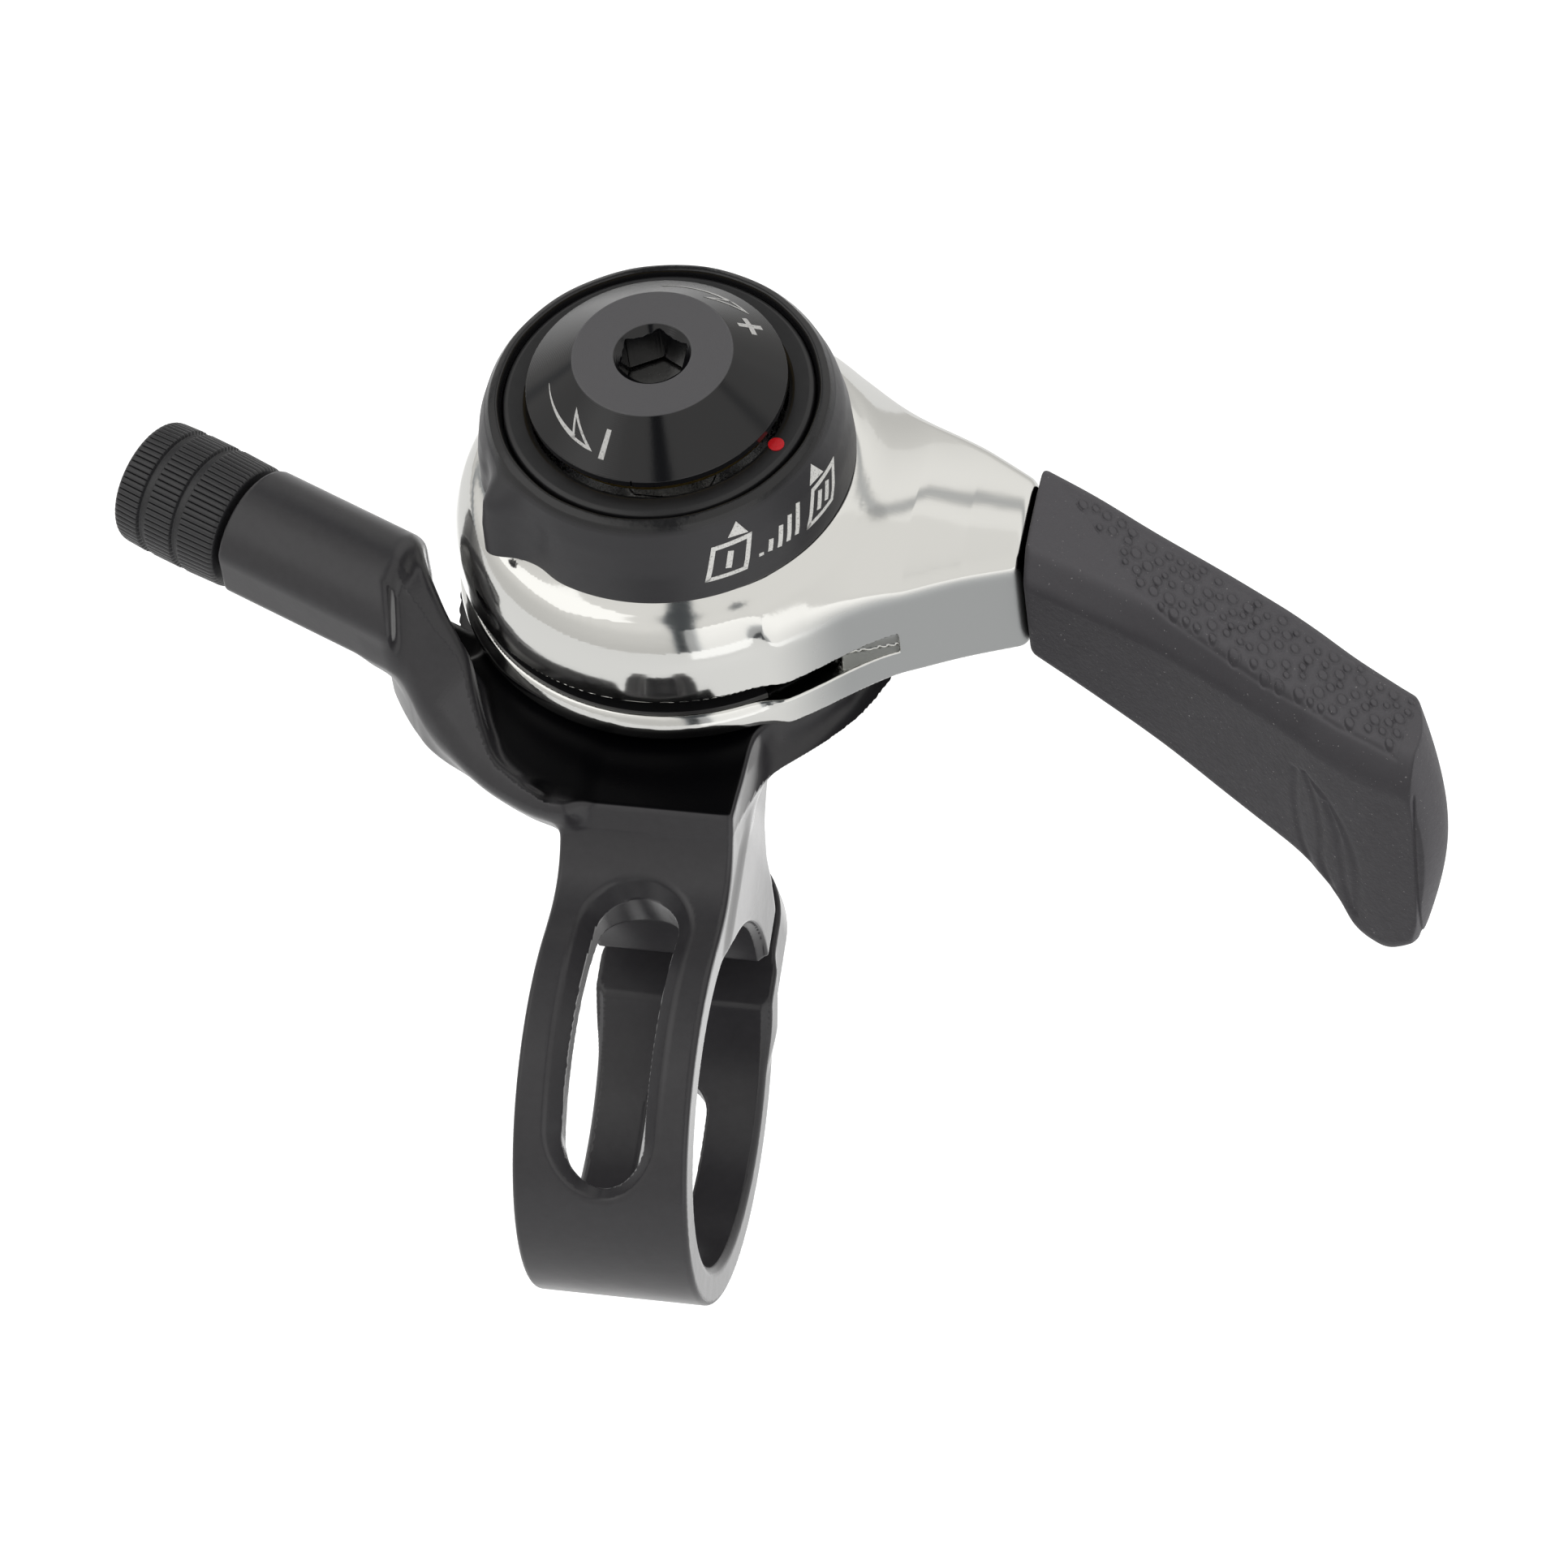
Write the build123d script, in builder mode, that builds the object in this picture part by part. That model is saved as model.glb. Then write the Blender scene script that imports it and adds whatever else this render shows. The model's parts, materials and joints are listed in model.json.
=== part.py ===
"""Thumb shifter for a 22.2 mm handlebar, in millimetres.

Frame: the origin is the centre of the clamp bore, +X runs along the handlebar, +Z is
parallel to the lever's pivot and points up, +Y points forward, away from the rider.
"""
import os
from math import cos, radians, sin, tan

from build123d import *

os.makedirs("parts", exist_ok=True)

# ---- driving dimensions -------------------------------------------------------------
BAR_R = 11.1                # radius of the clamp bore, for a 22.2 mm bar
BAND_WALL = 2.5             # thickness of the clamp band
BAND_WIDTH = 11.4           # width of the clamp band along the bar
POD_X, POD_Y = -1.1, 29.1   # where the lever's pivot axis crosses the XY plane
PLATFORM_Z = 17.6           # top of the bracket's platform
CABLE_R = 13.85             # radius at which the cable wraps the lever
CABLE_Z = 21.4              # height of the cable above the bar's centre
ADJUSTER_TURN = 156.25      # direction of the barrel adjuster, degrees from +X
CLAMP_TILT = 17.0           # tilt of the pinch bolt and its gap, degrees
LEVER_TRAVEL = 112.0        # degrees from released to fully pulled
STOP_R = 10.9               # where the stop pin stands, from the pivot
STOP_TURN = 200.0           # direction of the stop pin, degrees from +X
PIN_R = 1.2
PIN_TURN = 7.0              # half the pin's width seen from the pivot, plus play, degrees
RUN = 0.05                  # radial running clearance

half = BAND_WIDTH / 2
ring_r = BAR_R + BAND_WALL

# ---- heights of the stack on the pivot, from the platform up -------------------------
LEVER_Z = PLATFORM_Z + 0.4       # underside of the lever
POCKET_Z = 21.0                  # floor of the pocket for the index parts
LEVER_TOP = 29.2                 # seat of the mode dial
DIAL_Z = LEVER_TOP + 0.1
RING_Z = 33.7                    # underside of the index ring
RING_TOP = 35.6
CAP_Z = 36.9                     # underside of the cap nut
CAP_TOP = 39.6
STUD_R = 3.0
THREAD_R = 2.5

# ---- radii of the stack --------------------------------------------------------------
DISC_R = 13.8                    # bracket platform under the lever
RIM_R = 14.55                    # widest part of the lever hub above the groove
LIP_R = 14.7                     # lower lip of the hub
TRACK_R = 12.7                   # floor of the cable groove
GROOVE_LOW, GROOVE_HIGH = 20.4, 22.2
POCKET_R = 10.4
DIAL_R = 12.2                    # foot of the mode dial, which narrows upward
DIAL_TOP_R = 11.25
RING_R = 10.05
CAP_R = 8.4
CAP_FLAT_R = 5.1

pod_axis = Axis((POD_X, POD_Y, 0), (0, 0, 1))


def pod_plane(height, turn=0.0):
    """Horizontal plane on the pivot axis, its X axis turned from +X."""
    a = radians(turn)
    return Plane((POD_X, POD_Y, height), x_dir=(cos(a), sin(a), 0), z_dir=(0, 0, 1))


def pod_section(turn=0.0):
    """Upright plane through the pivot axis, for profiles in radius and height."""
    a = radians(turn)
    return Plane((POD_X, POD_Y, 0), x_dir=(cos(a), sin(a), 0), z_dir=(sin(a), -cos(a), 0))


def save(piece, label):
    """Name one finished piece and write its STEP file."""
    piece.part.label = label
    export_step(piece.part, "parts/" + label + ".step")


def turned(profile, section=None):
    """Solid of revolution about the pivot, from a profile in radius and height."""
    with BuildPart() as made:
        with BuildSketch(section or pod_section()):
            with BuildLine():
                Polyline(*profile, close=True)
            make_face()
        revolve(axis=pod_axis)
    return made.part


def ring(low, high, inner, outer):
    """Profile of a plain washer."""
    return [(inner, low), (outer, low), (outer, high), (inner, high)]


# ---- axis of the barrel adjuster -----------------------------------------------------
adjuster_dir = Vector(cos(radians(ADJUSTER_TURN)), sin(radians(ADJUSTER_TURN)), 0)
to_pod = Vector(-adjuster_dir.Y, adjuster_dir.X, 0) * -1
cable_leaves = Vector(POD_X, POD_Y, CABLE_Z) - to_pod * CABLE_R


def adjuster_plane(distance):
    """Plane square to the adjuster's axis, with its X axis straight up."""
    return Plane(cable_leaves + adjuster_dir * distance, x_dir=(0, 0, 1), z_dir=adjuster_dir)


HOUSING_IN, HOUSING_OUT = 12.4, 24.4     # ends of the bracket's cable housing
HOUSING_R = 4.3                          # its rounded top
HOUSING_HALF, HOUSING_LOW = 4.08, 2.9    # flat sides and flat underside, from the axis
KNOB_IN, KNOB_OUT = 24.9, 33.0
KNOB_R = 4.35
SHANK_R = 2.5

# ---- pinch bolt axis -----------------------------------------------------------------
BOLT_R = 2.5
BOLT_OFFSET = 14.6                       # from the bore's centre to the bolt's axis
GAP_LOW, GAP_HIGH = -7.1, -3.6           # the split, measured along the bolt
tilt = radians(CLAMP_TILT)
bolt_dir = Vector(0, -sin(tilt), cos(tilt))
bolt_out = Vector(0, cos(tilt), sin(tilt))


def bolt_plane(height):
    """Plane square to the pinch bolt, its Y axis pointing away from the bore."""
    return Plane(bolt_out * BOLT_OFFSET + bolt_dir * height, x_dir=(1, 0, 0), z_dir=bolt_dir)


# ======================================================================================
# Bracket
# ======================================================================================
EAR_THICK = 3.6
SEAT_R = 4.0                             # the pivot stud's fit in the bracket
STUD_HEAD_R, STUD_HEAD_Z = 6.0, 13.0     # head of the stud, and the top of its recess
PIN_Z = 15.0                             # foot of the stop pin
NECK_FRONT = [(5.4, 12.0), (7.0, 12.6), (10.0, PLATFORM_Z)]
NECK_BACK = [(26.0, PLATFORM_Z), (26.0, 14.2), (21.5, 12.6), (17.4, 9.6), (14.6, 6.6), (13.6, 1.0), (9.0, 1.0)]
PLATFORM_LEFT = [(-5.7, 10.0), (-8.6, 11.0), (-11.4, 14.1), (-14.0, 19.5)]
PLATFORM_RIGHT = [(10.2, 21.2), (8.2, 18.6), (6.6, 15.8), (5.9, 13.0), (5.7, 10.0)]
ARM_RIGHT = -4.9
ARM_OUTER = [(ARM_RIGHT, 9.3), (-6.8, 9.5), (-8.8, 10.1), (-11.4, 11.4), (-13.7, 13.0), (-15.9, 14.9), (-17.7, 17.0)]
ARM_TOP = [(8.0, 17.6), (9.8, 17.8), (11.2, 18.6), (13.1, 19.2), (15.5, 20.5), (17.4, 21.6), (19.3, 23.2),
           (20.7, 25.0), (23.0, 26.2), (30.0, 26.6)]
ARM_LOW = 14.2
ARM_GAP_R = 15.8                         # inner wall of the arm, round the lever hub

SLOT_BEVEL = 1.0
SLOTS = [(106.5, 86.0, 5.4), (-77.0, 42.0, 4.0)]     # middle and span of each slot, degrees, and its width


def on_slot_mouth(edge):
    """True for the outer edges of the long slots in the band."""
    at = edge.position_at(0.5)
    on_band = abs(Vector(0, at.Y, at.Z).length - ring_r) < 0.01
    widest = max(width for turn, span, width in SLOTS)
    return on_band and abs(at.X) < widest / 2 + 0.01 and edge.geom_type != GeomType.LINE


with BuildPart() as clamp_bracket:
    # band, neck and the thick of the platform, one profile along the bar
    with BuildSketch(Plane.YZ.offset(-half)):
        Circle(ring_r)
        with BuildLine():
            Polyline(*NECK_FRONT, *NECK_BACK, close=True)
        make_face()
    extrude(amount=BAND_WIDTH)
    # platform: a disc on the pivot, joined to the neck
    with BuildSketch(Plane.XY.offset(ARM_LOW)):
        with Locations((POD_X, POD_Y)):
            Circle(DISC_R)
        with BuildLine():
            Polyline(*PLATFORM_LEFT, *PLATFORM_RIGHT, close=True)
        make_face()
    extrude(amount=PLATFORM_Z - ARM_LOW)
    # shallow cone under the disc
    add(turned([(0, 11.6), (7.5, 11.6), (12.6, ARM_LOW), (0, ARM_LOW)]))
    # arm from the platform out to the cable housing
    housing_near = cable_leaves + adjuster_dir * (HOUSING_IN + 1.0)
    with BuildSketch(Plane.XY.offset(ARM_LOW)):
        with BuildLine():
            Polyline(
                *ARM_OUTER,
                tuple(housing_near - to_pod * 4.0)[:2],
                tuple(housing_near + to_pod * 1.5)[:2],
                (-13.0, 22.0), (-9.0, 15.5), (ARM_RIGHT, 11.0),
                close=True,
            )
        make_face()
    extrude(amount=26.6 - ARM_LOW)
    with BuildSketch(Plane.YZ.offset(ARM_RIGHT)):
        with BuildLine():
            Polyline(*ARM_TOP, (30.0, 40.0), (8.0, 40.0), close=True)
        make_face()
    extrude(amount=-30.0, mode=Mode.SUBTRACT)
    # cable housing with a round top and flat sides
    with BuildSketch(adjuster_plane(HOUSING_IN)):
        Circle(HOUSING_R)
        with Locations((-HOUSING_LOW / 2, 0)):
            Rectangle(HOUSING_LOW, 2 * HOUSING_HALF)
        with Locations(((HOUSING_R - HOUSING_LOW) / 2, 0)):
            Rectangle(HOUSING_R + HOUSING_LOW, 2 * HOUSING_HALF, mode=Mode.INTERSECT)
    extrude(amount=HOUSING_OUT - HOUSING_IN)
    # room for the lever hub above the platform
    with BuildSketch(pod_plane(PLATFORM_Z)):
        Circle(ARM_GAP_R)
    extrude(amount=12.0, mode=Mode.SUBTRACT)
    # ears round the pinch bolt, above and below the gap
    with BuildSketch(bolt_plane(GAP_LOW - EAR_THICK)):
        SlotCenterPoint((0, 0), (0, -4.0), BAND_WIDTH)
    extrude(amount=EAR_THICK)
    with BuildSketch(bolt_plane(GAP_HIGH)):
        SlotCenterPoint((0, 0), (0, -4.0), BAND_WIDTH)
    extrude(amount=13.0)
    # bore, split and bolt holes
    with BuildSketch(Plane.YZ.offset(-half - 1)):
        Circle(BAR_R)
    extrude(amount=BAND_WIDTH + 2, mode=Mode.SUBTRACT)
    with BuildSketch(bolt_plane(GAP_LOW)):
        with Locations((0, 1.5)):
            Rectangle(BAND_WIDTH + 2, 14.0)
    extrude(amount=GAP_HIGH - GAP_LOW, mode=Mode.SUBTRACT)
    with BuildSketch(bolt_plane(GAP_LOW - EAR_THICK - 1)):
        Circle(BOLT_R + 0.2)
    extrude(amount=EAR_THICK + 2, mode=Mode.SUBTRACT)
    with BuildSketch(bolt_plane(GAP_HIGH)):
        Circle(BOLT_R + RUN)
    extrude(amount=9.0, mode=Mode.SUBTRACT)
    # two long slots in the band, with bevelled mouths
    for middle_turn, span, width in SLOTS:
        reach = 2 * ring_r * sin(radians(span / 2))
        towards = Plane(
            (0, cos(radians(middle_turn)) * 4, sin(radians(middle_turn)) * 4),
            x_dir=(0, -sin(radians(middle_turn)), cos(radians(middle_turn))),
            z_dir=(0, cos(radians(middle_turn)), sin(radians(middle_turn))),
        )
        with BuildSketch(towards):
            SlotOverall(reach, width)
        extrude(amount=14.0, mode=Mode.SUBTRACT)
    mouths = clamp_bracket.edges().filter_by(on_slot_mouth)
    chamfer(mouths, SLOT_BEVEL)
    # holes on the pivot and for the stop pin
    with BuildSketch(pod_plane(10.0)):
        Circle(SEAT_R + RUN)
    extrude(amount=10.0, mode=Mode.SUBTRACT)
    with BuildSketch(pod_plane(10.0)):
        Circle(STUD_HEAD_R + 0.2)
    extrude(amount=STUD_HEAD_Z - 10.0, mode=Mode.SUBTRACT)
    with BuildSketch(pod_plane(PIN_Z, STOP_TURN)):
        with Locations((STOP_R, 0)):
            Circle(PIN_R + RUN)
    extrude(amount=5.0, mode=Mode.SUBTRACT)
    # threaded hole for the barrel adjuster
    with BuildSketch(adjuster_plane(HOUSING_IN - 4)):
        Circle(SHANK_R + RUN)
    extrude(amount=HOUSING_OUT - HOUSING_IN + 5, mode=Mode.SUBTRACT)
save(clamp_bracket, "clamp_bracket")

# pinch bolt from below the ears, with its washer
HEAD_R, HEAD_HIGH = 4.25, 4.2
WASHER_R, WASHER_THICK = 4.9, 0.9
EAR_FACE = GAP_LOW - EAR_THICK
HEX_KEY = 4.0                            # across the flats of the key

with BuildPart() as bolt_washer:
    with BuildSketch(bolt_plane(EAR_FACE - WASHER_THICK)):
        Circle(WASHER_R)
        Circle(BOLT_R + 0.2, mode=Mode.SUBTRACT)
    extrude(amount=WASHER_THICK)
save(bolt_washer, "bolt_washer")

with BuildPart() as pinch_bolt:
    with BuildSketch(bolt_plane(EAR_FACE - WASHER_THICK - HEAD_HIGH)):
        Circle(HEAD_R)
    extrude(amount=HEAD_HIGH)
    chamfer(pinch_bolt.edges().sort_by(Axis.Z)[:1], 0.4)
    with BuildSketch(bolt_plane(EAR_FACE - WASHER_THICK)):
        Circle(BOLT_R)
    extrude(amount=GAP_HIGH - EAR_FACE + WASHER_THICK + 8.0)
    with BuildSketch(bolt_plane(EAR_FACE - WASHER_THICK - HEAD_HIGH)):
        RegularPolygon(HEX_KEY / 2, 6, major_radius=False)
    extrude(amount=2.6, mode=Mode.SUBTRACT)
save(pinch_bolt, "pinch_bolt")

# ======================================================================================
# Fixed parts on the pivot
# ======================================================================================
SLEEVE_R = 4.2                           # bore of the lever hub
KEY_FLAT = 2.3                           # half width of the stud's flats

with BuildPart() as pivot_stud:
    stud_profile = [
        (0, 11.4), (STUD_HEAD_R, 11.4), (STUD_HEAD_R, STUD_HEAD_Z), (SEAT_R, STUD_HEAD_Z),
        (SEAT_R, PLATFORM_Z), (STUD_R, PLATFORM_Z),
        (STUD_R, RING_TOP), (THREAD_R - RUN, RING_TOP), (THREAD_R - RUN, CAP_TOP - 3.3), (0, CAP_TOP - 3.3),
    ]
    add(turned(stud_profile))
    # two flats that key the fixed plates
    with BuildSketch(pod_plane(POCKET_Z + 1.8)):
        for side in (-1, 1):
            with Locations((0, side * (KEY_FLAT + 2))):
                Rectangle(8, 4)
    extrude(amount=RING_TOP - POCKET_Z - 1.8, mode=Mode.SUBTRACT)
save(pivot_stud, "pivot_stud")

with BuildPart() as stop_pin:
    with BuildSketch(pod_plane(PIN_Z, STOP_TURN)):
        with Locations((STOP_R, 0)):
            Circle(PIN_R)
    extrude(amount=LEVER_Z + 1.35 - PIN_Z)
save(stop_pin, "stop_pin")

with BuildPart() as base_washer:
    add(turned(ring(PLATFORM_Z, LEVER_Z - 0.02, SEAT_R - 0.9, 9.2)))
save(base_washer, "base_washer")


def keyed_disc(low, high, outer):
    """Disc with a hole that fits the two flats of the pivot stud."""
    with BuildPart() as made:
        with BuildSketch(pod_plane(low)):
            Circle(outer)
            with BuildSketch(mode=Mode.SUBTRACT):
                Circle(STUD_R + RUN)
                Rectangle(8, 2 * (KEY_FLAT + RUN), mode=Mode.INTERSECT)
        extrude(amount=high - low)
    return made.part


# ======================================================================================
# Index parts in the lever's pocket, from the bottom up
# ======================================================================================
CAGE_Z, CAGE_THICK = POCKET_Z, 1.3
BALL_R, BALL_TRACK = 1.15, 7.4
BALLS = 6
PLATE_Z, PLATE_THICK = POCKET_Z + 2 * BALL_R + 0.05, 1.2
CLICKS = 11
CLICK_TURN = LEVER_TRAVEL / (CLICKS - 1)
FRICTION_Z = PLATE_Z + PLATE_THICK
SPRING_Z = FRICTION_Z + 0.5
PRESSURE_Z = 27.0

with BuildPart() as ball_cage:
    with BuildSketch(pod_plane(CAGE_Z + 0.35)):
        Circle(POCKET_R - 0.15)
        Circle(STUD_R + 1.3, mode=Mode.SUBTRACT)
        with PolarLocations(BALL_TRACK, BALLS):
            Circle(BALL_R + 0.03, mode=Mode.SUBTRACT)
    extrude(amount=CAGE_THICK)
save(ball_cage, "ball_cage")

with BuildPart() as detent_balls:
    with Locations(Plane((POD_X, POD_Y, POCKET_Z + BALL_R))):
        with PolarLocations(BALL_TRACK, BALLS):
            Sphere(BALL_R)
save(detent_balls, "detent_balls")

with BuildPart() as index_plate:
    add(keyed_disc(PLATE_Z, PLATE_Z + PLATE_THICK, POCKET_R - 0.2))
    # one dimple for each gear, in front of every ball
    with Locations(Plane((POD_X, POD_Y, PLATE_Z - 0.25))):
        for click in range(CLICKS):
            with PolarLocations(BALL_TRACK, 3, start_angle=click * CLICK_TURN):
                Sphere(0.62, mode=Mode.SUBTRACT)
save(index_plate, "index_plate")

with BuildPart() as friction_washer:
    add(keyed_disc(FRICTION_Z, FRICTION_Z + 0.5, POCKET_R - 0.5))
save(friction_washer, "friction_washer")

with BuildPart() as detent_spring:
    cone = [(4.2, SPRING_Z), (5.0, SPRING_Z), (9.6, PRESSURE_Z - 0.65), (9.6, PRESSURE_Z), (8.8, PRESSURE_Z),
            (4.2, SPRING_Z + 0.65)]
    add(turned(cone))
save(detent_spring, "detent_spring")

with BuildPart() as pressure_plate:
    add(keyed_disc(PRESSURE_Z, PRESSURE_Z + 1.0, POCKET_R - 0.3))
save(pressure_plate, "pressure_plate")

# ======================================================================================
# Lever: cast hub and arm, rubber grip, bush and cable track
# ======================================================================================
ARM_END = 22.6                           # where the grip starts, along X
GRIP_SLOPE = -0.52                       # the grip's sweep back, Y per X
GRIP_MIDDLE = 28.4                       # middle of the arm's end, along Y
ARM_FRONT = [(8.0, 18.0), (9.6, 19.0), (11.3, 20.1), (13.3, 21.2), (15.5, 22.2), (18.6, 23.6), (ARM_END, 25.1)]
ARM_BACK = [(ARM_END, 32.5), (18.4, 35.1), (14.8, 36.9), (11.2, 38.5), (7.6, 40.6)]
ARM_SIDE = [(-1.0, LEVER_Z), (ARM_END, LEVER_Z), (ARM_END, 26.4), (17.0, 26.9), (12.0, 28.1), (9.0, 29.2), (-1.0, 29.2)]
TRACK_FROM, TRACK_SPAN = 80.0, 247.0     # the groove, counterclockwise from its back end
TRACK_THICK = 0.25
TONGUE_HALF = 1.9
TONGUE_LOW, TONGUE_HIGH = 20.2, 24.6
TONGUE_END = 42.0

hub_profile = [
    (SLEEVE_R, LEVER_Z), (14.2, LEVER_Z), (14.6, 18.8), (LIP_R, 19.6), (LIP_R, GROOVE_LOW),
    (14.35, GROOVE_HIGH - 0.1), (RIM_R, 23.6), (14.4, 25.2), (13.95, 26.5), (13.4, 27.5),
    (12.9, 28.4), (12.5, LEVER_TOP), (SLEEVE_R, LEVER_TOP),
]


def swept(x, side=0.0):
    """Point on the grip's middle line in plan, moved sideways by side."""
    return (x, GRIP_MIDDLE + GRIP_SLOPE * (x - ARM_END) + side)


tongue_outline = [
    (ARM_END - 1, GRIP_MIDDLE + TONGUE_HALF), (ARM_END - 1, GRIP_MIDDLE - TONGUE_HALF),
    swept(ARM_END, -TONGUE_HALF), swept(TONGUE_END, -TONGUE_HALF),
    swept(TONGUE_END, TONGUE_HALF), swept(ARM_END, TONGUE_HALF),
]

with BuildPart() as arm_blank:
    with BuildSketch(Plane.XY.offset(LEVER_Z)):
        with BuildLine():
            Spline(*ARM_FRONT)
            Line(ARM_FRONT[-1], ARM_BACK[0])
            Spline(*ARM_BACK)
            Polyline(ARM_BACK[-1], (POD_X, POD_Y), ARM_FRONT[0])
        make_face()
    extrude(amount=LEVER_TOP - LEVER_Z)
    with BuildSketch(Plane.XZ.offset(-60)):
        with BuildLine():
            Polyline(*ARM_SIDE, close=True)
        make_face()
    extrude(amount=60, mode=Mode.INTERSECT)

with BuildPart() as lever_body:
    add(turned(hub_profile))
    add(arm_blank.part)
    # tongue that the grip is moulded over
    with BuildSketch(Plane.XY.offset(TONGUE_LOW)):
        with BuildLine():
            Polyline(*tongue_outline, close=True)
        make_face()
    extrude(amount=TONGUE_HIGH - TONGUE_LOW)
    # bore, pocket for the index parts, and cable groove
    with BuildSketch(pod_plane(LEVER_Z - 1)):
        Circle(SLEEVE_R)
    extrude(amount=20, mode=Mode.SUBTRACT)
    with BuildSketch(pod_plane(POCKET_Z)):
        Circle(POCKET_R)
    extrude(amount=20, mode=Mode.SUBTRACT)
    with BuildSketch(pod_section(TRACK_FROM)):
        with Locations((TRACK_R + 3, (GROOVE_LOW + GROOVE_HIGH) / 2)):
            Rectangle(6, GROOVE_HIGH - GROOVE_LOW)
    revolve(axis=pod_axis, revolution_arc=TRACK_SPAN, mode=Mode.SUBTRACT)
    # square-ended pocket for the cable's head
    with BuildSketch(Plane.XY.offset(GROOVE_LOW)):
        with BuildLine():
            Polyline((8.0, 16.0), (14.6, 19.5), (14.6, 22.6), (8.4, 20.4), close=True)
        make_face()
    extrude(amount=GROOVE_HIGH - GROOVE_LOW, mode=Mode.SUBTRACT)
    # curved slot in the underside that runs on the stop pin
    with BuildSketch(pod_plane(LEVER_Z, STOP_TURN)):
        with Locations((STOP_R, 0)):
            Circle(PIN_R + 0.3)
    extrude(amount=1.7, mode=Mode.SUBTRACT)
    slot_start = STOP_TURN - LEVER_TRAVEL - PIN_TURN
    with BuildSketch(pod_section(slot_start)):
        with Locations((STOP_R, LEVER_Z + 0.85)):
            Rectangle(2 * PIN_R + 0.6, 1.7)
    revolve(axis=pod_axis, revolution_arc=LEVER_TRAVEL + PIN_TURN, mode=Mode.SUBTRACT)
save(lever_body, "lever_body")

with BuildPart() as cable_track:
    with BuildSketch(pod_section(TRACK_FROM + 1)):
        with BuildLine():
            Polyline(
                (TRACK_R, GROOVE_LOW), (14.1, GROOVE_LOW), (14.1, GROOVE_LOW + TRACK_THICK),
                (TRACK_R + TRACK_THICK, GROOVE_LOW + TRACK_THICK),
                (TRACK_R + TRACK_THICK, GROOVE_HIGH - TRACK_THICK), (14.1, GROOVE_HIGH - TRACK_THICK),
                (14.1, GROOVE_HIGH), (TRACK_R, GROOVE_HIGH), close=True,
            )
        make_face()
    revolve(axis=pod_axis, revolution_arc=TRACK_SPAN - 24)
save(cable_track, "cable_track")

with BuildPart() as pivot_bush:
    add(turned(ring(LEVER_Z, POCKET_Z + 0.2, STUD_R + RUN, SLEEVE_R)))
save(pivot_bush, "pivot_bush")

# place along X, bottom, front and back from the middle line, and corner radius of the grip
GRIP_TOP = 26.2
GRIP_SECTIONS = [
    (ARM_END, 17.9, -4.3, 4.5, 1.5), (30.0, 16.4, -3.7, 4.2, 1.6), (37.5, 14.2, -3.8, 3.9, 1.7),
    (42.0, 12.0, -4.4, 3.5, 1.9), (45.4, 7.4, -4.6, 3.1, 2.2), (48.4, 7.4, -4.3, 2.9, 2.5),
    (51.0, 10.6, -3.6, 2.3, 2.5),
]

with BuildPart() as lever_grip:
    for x, low, front, back, corner in GRIP_SECTIONS:
        with BuildSketch(Plane.YZ.offset(x)):
            with Locations((swept(x)[1] + (front + back) / 2, (low + GRIP_TOP) / 2)):
                RectangleRounded(back - front, GRIP_TOP - low, corner)
    loft()
    with BuildSketch(Plane.XY.offset(TONGUE_LOW)):
        with BuildLine():
            Polyline(*tongue_outline, close=True)
        make_face()
    extrude(amount=TONGUE_HIGH - TONGUE_LOW, mode=Mode.SUBTRACT)
save(lever_grip, "lever_grip")

# ======================================================================================
# Mode dial, index ring and cap
# ======================================================================================
DIAL_BORE = 9.2
SKIRT_LOW = PRESSURE_Z + 1.05
DIAL_MARK_TURN = 222.0                   # direction of the dial's finger tab

dial_profile = [
    (DIAL_BORE, SKIRT_LOW), (POCKET_R - 0.1, SKIRT_LOW), (POCKET_R - 0.1, DIAL_Z), (DIAL_R, DIAL_Z),
    (DIAL_R - 0.2, 32.0), (DIAL_R - 0.6, 34.0), (DIAL_TOP_R, 35.1), (DIAL_TOP_R - 0.4, 35.6),
    (RING_R + 0.5, 35.8), (RING_R + 0.12, 35.6), (RING_R + 0.12, RING_Z - 0.1), (DIAL_BORE, RING_Z - 0.1),
]

with BuildPart() as mode_dial:
    add(turned(dial_profile))
    # finger tab on the rim
    with BuildSketch(pod_plane(DIAL_Z, DIAL_MARK_TURN)):
        with Locations((DIAL_R - 0.1, 0)):
            SlotCenterToCenter(4.2, 2.2, rotation=90)
    extrude(amount=5.2)
    with BuildSketch(pod_plane(SKIRT_LOW)):
        Circle(DIAL_BORE)
    extrude(amount=10, mode=Mode.SUBTRACT)
save(mode_dial, "mode_dial")

RING_STEP = RING_TOP - 0.25              # sunk middle of the index ring
DOT_AT, DOT_R, DOT_TURN = 8.95, 0.52, -22.0
CLICK_R = 0.6                            # ball that clicks the dial into place
CLICK_AIM = 105.0
CLICK_Z = 34.5


def click_plane(radius):
    """Plane square to the click ball's radial hole, at a radius from the pivot."""
    outward = Vector(cos(radians(CLICK_AIM)), sin(radians(CLICK_AIM)), 0)
    return Plane(Vector(POD_X, POD_Y, CLICK_Z) + outward * radius, x_dir=(0, 0, 1), z_dir=outward)


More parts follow.
